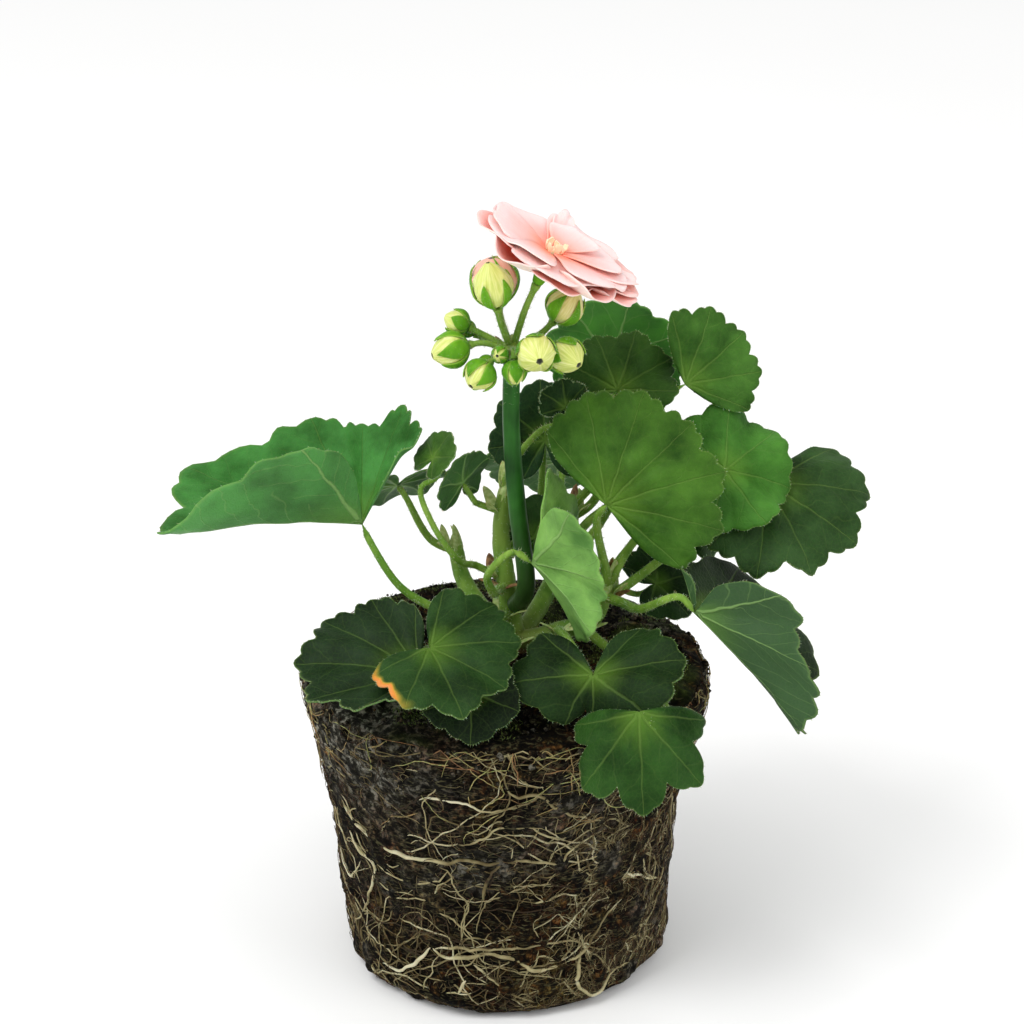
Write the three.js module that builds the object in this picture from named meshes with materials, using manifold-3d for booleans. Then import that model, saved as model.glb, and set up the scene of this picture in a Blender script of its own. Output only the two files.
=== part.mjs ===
// A rosebud zonal geranium knocked out of its nursery pot: a peat ball bound by its own roots, the branched
// green stem that stands in it, the leaves on their stalks, and one umbel with an open double bloom and buds.
// Millimetres, +Z up. The origin is the centre of the ball's flat underside, and -Y faces the viewer.

import * as THREE from "three";
import { mergeVertices } from "three/addons/utils/BufferGeometryUtils.js";
import Module from "manifold-3d";

const wasm = await Module();
wasm.setup();

// Driving dimensions, in millimetres
const contactGap = 0.3;
const bladeThickness = 0.7;
const petalThickness = 0.65;
const stalkRadius = { base: 1.7, blade: 1.1 };
const stockRadius = 3.6;
const stockDepth = 20;
const stockPlace = [3, 2];
const ball = { height: 88, footRadius: 41, around: 40, lumps: 1.1 };
// Radius and height up the ball's wall, from the foot to the rim.
const ballWall = [
  [45, 4],
  [45.8, 21],
  [47, 37],
  [49, 52],
  [52, 67],
  [55.4, 79],
  [56, 84],
  [54.5, 87.4],
];
const colours = {
  peat: 0x3a2a20,
  stem: 0x6f9a3c,
  blade: 0x4c8a34,
  scape: 0x3f7a3a,
  bud: 0xc3cf6a,
  petal: 0xf6b3b0,
};

// Directions, frames and chance
const rad = THREE.MathUtils.degToRad;
const vec = (x, y, z) => new THREE.Vector3(x, y, z);

// The unit vector at an azimuth, from +X towards +Y, and an elevation above the horizon, in degrees.
function direction(azimuth, elevation) {
  const flat = Math.cos(rad(elevation));
  return vec(flat * Math.cos(rad(azimuth)), flat * Math.sin(rad(azimuth)), Math.sin(rad(elevation)));
}

// Right, forward and up for something that faces a direction, with forward turned clockwise from the steepest.
function frameOf(face, turn) {
  const up = direction(...face);
  const steepest = vec(0, 0, 1).addScaledVector(up, -up.z).normalize();
  const side = steepest.clone().cross(up);
  const forward = steepest.multiplyScalar(Math.cos(rad(turn))).addScaledVector(side, Math.sin(rad(turn)));
  return { right: forward.clone().cross(up), forward, up };
}

// A point given in a frame, in the plant's own axes.
function placed(origin, frame, point) {
  return origin
    .clone()
    .addScaledVector(frame.right, point.x)
    .addScaledVector(frame.forward, point.y)
    .addScaledVector(frame.up, point.z);
}

// A repeatable stream of numbers from 0 to 1.
function stream(seed) {
  let state = seed;
  return () => {
    state = (state * 1664525 + 1013904223) % 4294967296;
    return state / 4294967296;
  };
}

// Closed solids
function geometryFrom(points, triangles) {
  const geometry = new THREE.BufferGeometry().setFromPoints(points);
  geometry.setIndex(triangles);
  return geometry;
}

function solidOf(geometry) {
  const bare = geometry.clone();
  bare.deleteAttribute("normal");
  bare.deleteAttribute("uv");
  const merged = mergeVertices(bare, 1e-4);
  const kept = [];
  for (let i = 0; i < merged.index.count; i += 3) {
    const [a, b, c] = merged.index.array.slice(i, i + 3);
    if (a !== b && b !== c && c !== a) kept.push(a, b, c);
  }
  const vertProperties = merged.attributes.position.array;
  return new wasm.Manifold(new wasm.Mesh({ numProp: 3, vertProperties, triVerts: new Uint32Array(kept) }));
}

function geometryOf(solid) {
  const mesh = solid.getMesh();
  const geometry = new THREE.BufferGeometry();
  geometry.setAttribute("position", new THREE.BufferAttribute(mesh.vertProperties, 3));
  geometry.setIndex(new THREE.BufferAttribute(mesh.triVerts, 1));
  return geometry;
}

function joined(solids) {
  return solids.reduce((whole, solid) => whole.add(solid));
}

// Triangles between two runs of points that span the same arc, each evenly split.
function strip(inner, outer) {
  const triangles = [];
  let i = 0;
  let j = 0;
  while (i < inner.parts || j < outer.parts) {
    if (j < outer.parts && (j + 0.5) / outer.parts <= (i + 0.5) / Math.max(inner.parts, 1e-9)) {
      triangles.push(inner.first + i, outer.first + j + 1, outer.first + j);
      j += 1;
    } else {
      triangles.push(inner.first + i, inner.first + i + 1, outer.first + j);
      i += 1;
    }
  }
  return triangles;
}

// Gives a sheet of triangles its thickness, half to each side of every point, with a wall round its open edge.
function thickened(points, triangles, thickness) {
  const sheet = geometryFrom(points, triangles);
  sheet.computeVertexNormals();
  const normals = sheet.getAttribute("normal");
  const count = points.length;
  const normalAt = (i) => vec().fromBufferAttribute(normals, i);
  const skins = [1, -1].flatMap((side) =>
    points.map((p, i) => p.clone().addScaledVector(normalAt(i), (side * thickness) / 2)),
  );
  const edges = new Set();
  const faces = [];
  for (let i = 0; i < triangles.length; i += 3) {
    const [a, b, c] = triangles.slice(i, i + 3);
    faces.push(a, b, c, count + a, count + c, count + b);
    [[a, b], [b, c], [c, a]].forEach(([from, to]) => edges.add(`${from},${to}`));
  }
  for (const edge of edges) {
    const [a, b] = edge.split(",").map(Number);
    if (!edges.has(`${b},${a}`)) faces.push(a, count + a, count + b, a, count + b, b);
  }
  return solidOf(geometryFrom(skins, faces));
}

// A round stalk along a curve, closed at both ends, whose radius depends on the way along it.
function tube(curve, radiusAt, sides, steps) {
  const frames = curve.computeFrenetFrames(steps, false);
  const points = [];
  const triangles = [];
  for (let i = 0; i <= steps; i++) {
    const centre = curve.getPointAt(i / steps);
    for (let k = 0; k < sides; k++) {
      const angle = (2 * Math.PI * k) / sides;
      const across = frames.normals[i].clone().multiplyScalar(radiusAt(i / steps) * Math.cos(angle));
      across.addScaledVector(frames.binormals[i], radiusAt(i / steps) * Math.sin(angle));
      points.push(across.add(centre));
    }
  }
  for (let i = 0; i < steps; i++) {
    for (let k = 0; k < sides; k++) {
      const a = i * sides + k;
      const b = i * sides + ((k + 1) % sides);
      triangles.push(a, b, b + sides, a, b + sides, a + sides);
    }
  }
  const last = steps * sides;
  for (let k = 1; k < sides - 1; k++) {
    triangles.push(0, k + 1, k, last, last + k, last + k + 1);
  }
  return solidOf(geometryFrom(points, triangles));
}

function route(points) {
  const stops = points.map((p) => (Array.isArray(p) ? vec(...p) : p));
  return new THREE.CatmullRomCurve3(stops, false, "centripetal");
}

// Shoots: the stock in the ball, and the four shoots that it carries
const shoots = {
  stock: {
    route: [[...stockPlace, ball.height - stockDepth], [...stockPlace, 82], [...stockPlace, 96]],
    radius: [stockRadius, 3.4],
  },
  a: { route: [[3, 2, 90], [1, 4, 105], [-1, 6, 122], [0, 7, 136]], radius: [3.1, 2.1] },
  b: { route: [[3, 2, 92], [14, 0, 96], [24, -2, 101], [28, -2, 111]], radius: [2.9, 2.2] },
  c: { route: [[3, 2, 92], [-6, 12, 97], [-12, 20, 104], [-14, 23, 114]], radius: [2.8, 2.1] },
  d: { route: [[3, 2, 92], [10, 14, 98], [16, 24, 108], [18, 28, 120]], radius: [2.8, 2.1] },
};

// The start of a stalk that leaves its shoot at a way up it, in a direction: its foot just clears the shoot.
function footOf([shoot, way, azimuth, elevation], footRadius = stalkRadius.base) {
  const { route: points, radius } = shoots[shoot];
  const curve = route(points);
  const along = direction(azimuth, elevation);
  const tangent = curve.getTangentAt(way);
  const sine = tangent.clone().cross(along).length();
  const cosine = Math.abs(tangent.dot(along));
  const beside = (THREE.MathUtils.lerp(...radius, way) + footRadius * cosine) / Math.max(sine, 0.3);
  const clear = contactGap + (way === 1 ? footRadius * sine : beside);
  return { along, start: curve.getPointAt(way).addScaledVector(along, clear) };
}

// Leaves

// A blade is round to kidney shaped with shallow lobes, a few teeth on each, and an open notch at its stalk.
// Its mesh has rings at a share of the reach, each split into some edges a lobe.
const teeth = 3;
const toothDepth = 0.05;
const pleatHeight = 0.06;
const bladeRings = [
  { rho: 0.4, edges: 1 },
  { rho: 0.72, edges: 2 },
  { rho: 1, edges: 2 * teeth },
];

const plain = {
  lobes: 7,
  slope: [12, 12, 12, 12],
  curl: [-24, -24, -24, -24],
  wave: [0.03, 6, 0],
  notch: 12,
  cut: 0.1,
  fold: 0,
  via: [],
  approach: [0, -3.5, -4.5],
};

// Each leaf: where its stalk meets the blade, the way that its face looks, the turn of its tip, its reach from
// stalk to margin, and its stalk's foot: a shoot, the way along it, and the azimuth and elevation at which it
// leaves. Then what sets its form apart. The notch is half its opening. Reach, slope and curl may differ at the
// tip, left, right and base, and a fold turns those four sides against the tip. A wave has its height as a part
// of the reach, its count and its phase. The stalk passes the via points, and comes to the blade from approach.
// All angles are in degrees.
const leaves = [
  {
    at: [27.1, -14, 139.6], face: [-92, 34], turn: 45, reach: 33, foot: ["b", 1, -110, 70], notch: 82,
    curl: [-24, -24, -40, -24],
  },
  {
    at: [48.5, 8, 165.5], face: [-70, 25], turn: 58, reach: 23, foot: ["d", 0.75, -20, 30], notch: 105,
    lobes: 5,
  },
  {
    at: [30.5, 10, 163.1], face: [-95, 40], turn: 15, reach: 17.5, foot: ["d", 1, -20, 55], notch: 45,
    wave: [0.16, 5, 40], via: [[30, 22, 138]],
  },
  {
    at: [29.4, 31, 163.5], face: [85, 10], turn: -15, reach: 21, foot: ["d", 0.95, 20, 30],
    via: [[32, 33, 140]],
  },
  {
    at: [16.4, 4, 160.3], face: [-90, 25], turn: -8, reach: 8, foot: ["a", 1, 0, 80], notch: 60, lobes: 5,
    via: [[10, 9, 152]],
  },
  { at: [11.1, 25, 142.8], face: [-80, 30], turn: 0, reach: 17, foot: ["d", 0.6, 170, 60] },
  {
    at: [59.1, 0, 143.8], face: [-75, 40], turn: 60, reach: 19.5, foot: ["b", 0.95, 10, 60],
    wave: [0.18, 5, 0],
  },
  {
    at: [71.3, 6, 137], face: [-75, 58], turn: 165, reach: [28, 33, 27, 29], foot: ["b", 0.85, 15, 30],
    notch: 62, slope: [0, 14, 0, 0], curl: [-30, -40, -20, -20],
  },
  {
    at: [50, -30, 115.5], face: [-5, -12], turn: 180, reach: [44, 46, 37, 15], foot: ["b", 0.9, -50, 5],
    notch: 12, fold: 35, slope: [58, 60, 60, -20], curl: [-10, -10, -10, -10], via: [[36.1, -20, 112.1]],
  },
  {
    at: [23.1, -44, 103.8], face: [-90, 70], turn: 180, reach: [12, 26, 24, 23],
    foot: ["b", 0.35, -80, 25], notch: 22, fold: 15, slope: [-20, 22, 4, 24], curl: [-80, -15, -15, -15],
  },
  {
    at: [34.2, -63, 103], face: [-90, 18], turn: 177, reach: 27, foot: ["b", 0.6, -75, 0], notch: 88,
    cut: 0.24, lobes: 5, slope: [5, -15, -20, 0], curl: [-10, -50, -50, -20],
    via: [[38, -32, 96], [43.5, -50, 93.5]], approach: [-4, 4.5, -2],
  },
  {
    at: [-19.3, -41, 110.4], face: [-85, 62], turn: 126, reach: 24, foot: ["a", 0.22, -112, 12],
    notch: 50, slope: [12, 12, 20, 12],
  },
  {
    at: [-22.6, -44, 105], face: [-95, 62], turn: -88, reach: [33, 20, 24, 20],
    foot: ["a", 0.14, -150, 5], notch: 85, slope: [10, 4, 20, 20], curl: [-20, 45, -20, -20],
  },
  {
    at: [-8.7, -46, 100.3], face: [-90, 35], turn: 180, reach: 13.8, foot: ["stock", 0.9, -95, 5],
    lobes: 5,
  },
  {
    at: [7.2, -22, 126.3], face: [5, 2], turn: 180, reach: [26, 30, 27, 34], foot: ["a", 0.4, -110, 10],
    slope: [38, 42, 54, 20], via: [[-3.1, -14, 114.3], [-4.4, -19, 121.5]],
  },
  {
    at: [-38, -10, 132.4], face: [90, 72], turn: 140, reach: [58, 33, 32, 38], foot: ["a", 0.2, 170, 10],
    notch: 50, fold: -67, slope: [5, 70, 58, 62], curl: [-10, 10, 0, -10],
    via: [[-17.3, -14, 109.1], [-27.8, -16, 116.7]],
  },
  { at: [-11.3, 6, 137.7], face: [140, 15], turn: 10, reach: 10.5, foot: ["a", 0.85, 180, 20], lobes: 5 },
  {
    at: [-18.9, -2, 148.2], face: [-150, 40], turn: 0, reach: 8.5, foot: ["a", 0.42, 180, 30], lobes: 5,
    via: [[-12.5, -2.5, 118.5], [-19.6, -3, 129.8], [-22.4, -3, 140.2]],
  },
  { at: [8.4, 15, 118], face: [-90, 40], turn: 20, reach: 13, foot: ["a", 0.5, 60, 40], lobes: 5 },
  { at: [42, 10, 106], face: [-60, 50], turn: 90, reach: 13, foot: ["b", 0.7, 60, 40], lobes: 5 },
  {
    at: [53.1, 16, 126.7], face: [-70, 20], turn: 170, reach: 15, foot: ["b", 0.8, 60, 50],
    wave: [0.16, 5, 0],
  },
  { at: [19, -2, 109.5], face: [-90, 60], turn: -30, reach: 6, foot: ["b", 0.55, 150, 60], lobes: 5 },
  { at: [54, 46, 127], face: [20, 50], turn: 180, reach: 24, foot: ["d", 0.7, 20, 50] },
  { at: [16, 56, 124], face: [95, 45], turn: 180, reach: 24, foot: ["d", 0.8, 115, 15] },
  { at: [-30, 28, 128], face: [115, 50], turn: 180, reach: 16, foot: ["c", 0.9, 175, 25] },
];

// The share of the reach that the margin has at u, which runs from -1 to 1 round the blade with 0 at the tip.
function marginAt(u, { lobes, cut }) {
  const outline = (1 - 0.2 * Math.abs(u) ** 3) * (0.2 + 0.8 * Math.sqrt(Math.max(0, 1 - Math.abs(u) ** 10)));
  const lobe = 1 - cut * (1 - Math.abs(Math.cos((lobes / 2) * Math.PI * u)));
  const tooth = 1 - toothDepth * (1 - Math.abs(Math.cos(((teeth * lobes) / 2) * Math.PI * u)));
  return outline * lobe * tooth;
}

// A point of the blade in the leaf's own frame. Each ray from the stalk is an arc with its own slope and curl,
// blended from those of the four sides. Ridges run between the veins, and waves grow towards the margin.
function bladePoint(leaf, u, rho) {
  const theta = u * (Math.PI - rad(leaf.notch));
  const axis = theta - rad(leaf.fold);
  const side = Math.sin(axis) ** 2;
  const weights = [
    Math.max(0, Math.cos(axis)) ** 2,
    Math.sin(axis) < 0 ? side : 0,
    Math.sin(axis) < 0 ? 0 : side,
    Math.max(0, -Math.cos(axis)) ** 2,
  ];
  const blend = (values) => weights.reduce((sum, weight, i) => sum + weight * values[i], 0);
  const slope = rad(blend(leaf.slope));
  const curl = rad(blend(leaf.curl)) || 1e-6;
  const reach = Array.isArray(leaf.reach) ? blend(leaf.reach) : leaf.reach;
  const margin = reach * marginAt(u, leaf);
  const [waveHeight, waves, phase] = leaf.wave;
  const out = (margin / curl) * (Math.sin(slope + curl * rho) - Math.sin(slope));
  const rise =
    (margin / curl) * (Math.cos(slope) - Math.cos(slope + curl * rho)) +
    pleatHeight * margin * rho * 0.5 * (1 - Math.cos(leaf.lobes * Math.PI * u)) +
    waveHeight * margin * rho ** 2 * Math.sin(waves * theta + rad(phase));
  return vec(out * Math.sin(theta), out * Math.cos(theta), rise);
}

function leafSolid(row) {
  const leaf = { ...plain, ...row };
  const centre = vec(...leaf.at);
  const frame = frameOf(leaf.face, leaf.turn);
  const points = [centre];
  const triangles = [];
  let inner = { first: 0, parts: 0 };
  for (const { rho, edges } of bladeRings) {
    const parts = edges * leaf.lobes;
    const outer = { first: points.length, parts };
    for (let i = 0; i <= parts; i++) {
      points.push(placed(centre, frame, bladePoint(leaf, (2 * i) / parts - 1, rho)));
    }
    triangles.push(...strip(inner, outer));
    inner = outer;
  }
  const blade = thickened(points, triangles, bladeThickness);
  const { start, along } = footOf(leaf.foot);
  const approach = placed(centre, frame, vec(...leaf.approach));
  const stalk = route([
    start,
    start.clone().addScaledVector(along, 4),
    ...leaf.via,
    approach,
    centre.clone().addScaledVector(frame.up, 0.1),
  ]);
  const radiusAt = (way) => THREE.MathUtils.lerp(stalkRadius.base, stalkRadius.blade, way);
  return blade.add(tube(stalk, radiusAt, 5, 6));
}

function stemSolid() {
  const radiusAlong = ([foot, tip]) => (way) => THREE.MathUtils.lerp(foot, tip, way);
  const shootSolid = (shoot) => tube(route(shoot.route), radiusAlong(shoot.radius), 8, 5);
  return joined(Object.values(shoots).map(shootSolid));
}

// The umbel: flower stalk, bloom and buds
const umbel = vec(2, -4, 179.5);
const flowerFoot = ["a", 0.25, -60, 35];
const scapeRadius = { base: 2.5, top: 2.25 };
const pedicelRadius = { base: 1.1, top: 0.85 };
const bloom = { base: [8.5, -6, 198.6], face: [0, 64] };

// Each bud: the middle of its base, the way that it points, its length and its radius.
const buds = [
  { base: [-1.9, -9.5, 193.3], face: [-150, 78], length: 13, radius: 5.2 },
  { base: [-1.6, 3.5, 189.5], face: [170, 82], length: 14, radius: 6 },
  { base: [13.2, 0, 186.5], face: [-20, 55], length: 11, radius: 5 },
  { base: [-9.5, -3, 185.5], face: [175, 25], length: 7, radius: 3.3 },
  { base: [-9.5, -6, 181.6], face: [-160, -10], length: 10.5, radius: 4.6 },
  { base: [-4.2, -10, 177.6], face: [-130, -30], length: 8.5, radius: 4.2 },
  { base: [7.5, -11, 183], face: [-80, -5], length: 10, radius: 5 },
  { base: [13.5, -4.5, 180.5], face: [-50, -15], length: 10, radius: 4.7 },
  { base: [2.5, -12.5, 179.6], face: [-80, -70], length: 6.5, radius: 3 },
  { base: [-8, 1, 182.5], face: [170, 30], length: 5, radius: 2 },
  { base: [-0.5, -10, 180.6], face: [-110, 10], length: 4.2, radius: 2 },
  { base: [-3.4, -4.5, 177.5], face: [-160, -35], length: 4.6, radius: 1.7 },
];

// A pedicel leaves the umbel outwards and then bends to the flower's own axis.
function pedicelRoute({ base, face }) {
  const end = vec(...base).addScaledVector(direction(...face), -contactGap);
  const reach = end.distanceTo(umbel);
  const out = end.clone().sub(umbel).normalize();
  const bend = end.clone().addScaledVector(direction(...face), -0.35 * reach);
  bend.lerp(umbel.clone().addScaledVector(out, 0.65 * reach), 0.4);
  return route([umbel, bend, end]);
}

function flowerStalkSolid() {
  const { start } = footOf(flowerFoot, scapeRadius.base);
  const scape = route([start, [5.8, -5.4, 112], [3.4, -4.2, 135], [1.8, -3.8, 158], umbel]);
  const scapeAt = (way) => THREE.MathUtils.lerp(scapeRadius.base, scapeRadius.top, way);
  const node = new THREE.SphereGeometry(3.1, 8, 6).translate(umbel.x, umbel.y, umbel.z);
  const pedicelAt = (way) => THREE.MathUtils.lerp(pedicelRadius.base, pedicelRadius.top, way);
  const pedicels = [bloom, ...buds].map((flower) => tube(pedicelRoute(flower), pedicelAt, 4, 3));
  return joined([tube(scape, scapeAt, 8, 8), solidOf(node), ...pedicels]);
}

// A bud is an egg of furled petals in five pointed sepals, which are ridges on it that end before its tip.
function budSolid({ base, face, length, radius }) {
  const around = 10;
  const rings = 5;
  const frame = frameOf(face, 0);
  const origin = vec(...base);
  const points = [origin];
  const triangles = [];
  for (let i = 1; i < rings; i++) {
    const way = i / rings;
    for (let k = 0; k < around; k++) {
      const angle = (2 * Math.PI * k) / around;
      const egg = radius * Math.sin(Math.PI * way ** 0.85) ** 0.75;
      const sepal = 0.14 * radius * Math.cos(5 * angle) * Math.max(0, 1 - way / 0.9);
      const out = egg + sepal;
      points.push(placed(origin, frame, vec(out * Math.sin(angle), out * Math.cos(angle), length * way)));
    }
  }
  points.push(placed(origin, frame, vec(0, 0, length)));
  const tip = points.length - 1;
  for (let k = 0; k < around; k++) {
    const next = (k + 1) % around;
    triangles.push(0, 1 + k, 1 + next);
    for (let i = 0; i < rings - 2; i++) {
      const a = 1 + i * around + k;
      const b = 1 + i * around + next;
      triangles.push(a, a + around, b + around, a, b + around, b);
    }
    triangles.push(tip, tip - around + next, tip - around + k);
  }
  return solidOf(geometryFrom(points, triangles));
}

// The petals of the double bloom, in its own frame: the turn round its axis from the steepest line, the slope
// at the foot, the length, the widest breadth, the curl towards the tip and the height of the foot on the axis.
const petals = [
  { turn: -70, slope: 4, length: 23, breadth: 20, curl: 12, lift: 0 },
  { turn: -25, slope: 6, length: 23, breadth: 21, curl: 6, lift: 0.8 },
  { turn: 22, slope: 4, length: 23, breadth: 21, curl: 10, lift: 0 },
  { turn: 68, slope: 9, length: 23, breadth: 20, curl: 0, lift: 0.8 },
  { turn: 112, slope: 0, length: 23, breadth: 20, curl: 0, lift: 0 },
  { turn: 158, slope: 7, length: 24, breadth: 20, curl: -5, lift: 0.8 },
  { turn: 202, slope: -2, length: 24, breadth: 20, curl: 0, lift: 0 },
  { turn: 246, slope: 8, length: 23, breadth: 20, curl: 5, lift: 0.8 },
  { turn: -48, slope: 10, length: 20, breadth: 17, curl: 0, lift: 2 },
  { turn: 10, slope: 10, length: 19, breadth: 17, curl: 0, lift: 2.8 },
  { turn: 75, slope: 10, length: 19, breadth: 16, curl: 0, lift: 2 },
  { turn: 140, slope: 17, length: 19, breadth: 16, curl: 0, lift: 2.8 },
  { turn: 198, slope: 10, length: 19, breadth: 16, curl: 0, lift: 2 },
  { turn: 256, slope: 16, length: 18, breadth: 16, curl: 0, lift: 2.8 },
  { turn: 45, slope: 55, length: 7, breadth: 6, curl: 0, lift: 4 },
  { turn: 160, slope: 50, length: 7, breadth: 6, curl: 0, lift: 4 },
  { turn: 285, slope: 52, length: 7, breadth: 6, curl: 0, lift: 4 },
];
const petalFoot = 1.8;
const petalSteps = { along: 4, across: 4 };

function petalSolid(origin, frame, { turn, slope, length, breadth, curl, lift }) {
  const points = [];
  const triangles = [];
  const foot = rad(slope);
  const bend = rad(curl) || 1e-6;
  const { along, across } = petalSteps;
  for (let i = 0; i <= along; i++) {
    const way = i / along;
    const half = 0.5 * breadth * (0.22 + 0.78 * Math.sin(Math.PI * way ** 1.3 * 0.62) ** 0.9);
    for (let j = 0; j <= across; j++) {
      const side = (2 * j) / across - 1;
      const reach = (length / bend) * (1 - 0.16 * side ** 2 * way);
      const out = petalFoot + reach * (Math.sin(foot + bend * way) - Math.sin(foot));
      const rise = lift + reach * (Math.cos(foot) - Math.cos(foot + bend * way)) + 0.12 * half * side ** 2;
      points.push(placed(origin, frame, vec(half * side, out, rise).applyAxisAngle(vec(0, 0, 1), -rad(turn))));
    }
  }
  for (let i = 0; i < along; i++) {
    for (let j = 0; j < across; j++) {
      const a = i * (across + 1) + j;
      const b = a + across + 1;
      triangles.push(a, a + 1, b + 1, a, b + 1, b);
    }
  }
  return thickened(points, triangles, petalThickness);
}

// The bloom's green cup and the core that its petals grow from, as radii and heights on its axis.
const bloomCore = [[0, 0], [1.4, 0], [2.6, 4], [3.6, 7], [3.4, 9.5], [2, 12.5], [0, 13]];
const petalHeight = 7.5;

function bloomSolid() {
  const frame = frameOf(bloom.face, 0);
  const base = vec(...bloom.base);
  const core = new THREE.LatheGeometry(bloomCore.map(([r, z]) => new THREE.Vector2(r, z)), 8);
  core.rotateX(Math.PI / 2);
  core.applyMatrix4(new THREE.Matrix4().makeBasis(frame.right, frame.forward, frame.up).setPosition(base));
  const origin = base.clone().addScaledVector(frame.up, petalHeight);
  return joined([solidOf(core), ...petals.map((petal) => petalSolid(origin, frame, petal))]);
}

// The root ball: the moulded peat, and the roots that run over it as half-sunk cords

// The thick roots on the side that faces the viewer, as angles from the front towards +X and heights.
const frontRoots = [
  [[-66, 55], [-42, 49], [-21, 50], [0, 51], [16, 50], [32, 58]],
  [[-24, 21], [-10, 20], [2, 19], [11, 15], [25, 18], [42, 32]],
  [[-23, 24], [-7, 26], [14, 25], [29, 23]],
  [[-61, 47], [-48, 41], [-50, 34], [-56, 24], [-70, 13]],
  [[1, 76], [9, 74], [21, 65], [34, 58]],
  [[-24, 70], [-12, 71], [0, 70], [6, 72]],
  [[27, 20], [28, 9], [40, 9], [52, 10]],
  [[67, 57], [72, 49], [78, 39]],
];
const rootRadius = 1.1;
const hiddenRoots = 9;

// How far the peat stands out at an angle round the ball, in radians, and a height.
function lumpAt(angle, height) {
  const slow = Math.sin(3 * angle + 0.11 * height) + Math.sin(5 * angle - 0.17 * height + 2);
  const quick = Math.sin(11 * angle + 0.31 * height + 1) * Math.sin(0.23 * height + 7 * angle);
  return ball.lumps * (0.35 * slow + 0.45 * quick);
}

function wallRadiusAt(height) {
  const above = Math.max(1, ballWall.findIndex(([, z]) => z >= height));
  const [[r0, z0], [r1, z1]] = [ballWall[above - 1], ballWall[above]];
  return THREE.MathUtils.mapLinear(height, z0, z1, r0, r1);
}

// The hidden side's roots wander round the ball, most of them low down where they circled in the pot.
function hiddenRootRows() {
  const random = stream(7);
  return Array.from({ length: hiddenRoots }, (_, i) => {
    const start = 95 + (i * 170) / hiddenRoots;
    const height = 12 + 58 * random() ** 1.5;
    const climb = 20 * (random() - 0.5);
    const heightAt = (k) => height + (climb * k) / 3 + 6 * (random() - 0.5);
    return [0, 1, 2, 3].map((k) => [start + 17 * k, Math.max(8, heightAt(k))]);
  });
}

function rootSolid(row) {
  const curve = route(
    row.map(([degrees, height]) => {
      const angle = rad(degrees - 90);
      const out = wallRadiusAt(height) + lumpAt(angle, height) - 0.3 * rootRadius;
      return [out * Math.cos(angle), out * Math.sin(angle), height];
    }),
  );
  return tube(curve, (way) => rootRadius * (1 - 0.35 * way), 3, 2 * (row.length - 1));
}

function ballSolid() {
  const top = [[50, ball.height + 0.4], [34, ball.height + 0.8], [17, ball.height + 1], [0, ball.height + 1.2]];
  const profile = [[0, 0], [ball.footRadius, 0], ...ballWall, ...top];
  const geometry = new THREE.LatheGeometry(profile.map(([r, z]) => new THREE.Vector2(r, z)), ball.around);
  geometry.rotateX(Math.PI / 2);
  const position = geometry.getAttribute("position");
  for (let i = 0; i < position.count; i++) {
    const { x, y, z } = vec().fromBufferAttribute(position, i);
    const radius = Math.hypot(x, y);
    const angle = Math.atan2(y, x);
    if (radius < 1 || z < 1) continue;
    const onWall = THREE.MathUtils.smoothstep(radius, 20, 44);
    const swell = 1 + (onWall * lumpAt(angle, z)) / radius;
    const lift = 0.8 * (1 - onWall) * lumpAt(angle, 9 * radius) * THREE.MathUtils.smoothstep(radius, 5, 15);
    position.setXYZ(i, x * swell, y * swell, z + lift);
  }
  const holeRadius = stockRadius + contactGap;
  const hole = new THREE.CylinderGeometry(holeRadius, holeRadius, 2 * stockDepth, 16);
  hole.rotateX(Math.PI / 2).translate(...stockPlace, ball.height - contactGap);
  const roots = [...frontRoots, ...hiddenRootRows()].map(rootSolid);
  return joined([solidOf(geometry), ...roots]).subtract(solidOf(hole));
}

// Assembly
const plant = new THREE.Group();

function addMesh(name, solid, color, roughness) {
  const material = new THREE.MeshStandardMaterial({ color, roughness, metalness: 0 });
  const mesh = new THREE.Mesh(geometryOf(solid), material);
  mesh.name = name;
  plant.add(mesh);
}

const numbered = (name, index) => `${name}_${String(index + 1).padStart(2, "0")}`;

addMesh("root_ball", ballSolid(), colours.peat, 0.95);
addMesh("stem", stemSolid(), colours.stem, 0.6);
addMesh("flower_stalk", flowerStalkSolid(), colours.scape, 0.55);
addMesh("bloom", bloomSolid(), colours.petal, 0.5);
buds.forEach((bud, i) => addMesh(numbered("bud", i), budSolid(bud), colours.bud, 0.5));
leaves.forEach((leaf, i) => addMesh(numbered("leaf", i), leafSolid(leaf), colours.blade, 0.6));

export default plant;
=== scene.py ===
# %% [markdown]
# # A rosebud zonal geranium out of its pot
# The plant comes packed as plain solids, which are the frame for everything here. This notebook dresses each
# of them with a finer surface in the same place. Every surface is worked out with numpy as whole arrays, in
# millimetres, and turned into metres as it becomes a mesh. We start by loading the frame and laying each
# solid's place into its own points.

import bpy
import numpy as np
from mathutils import Matrix


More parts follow.
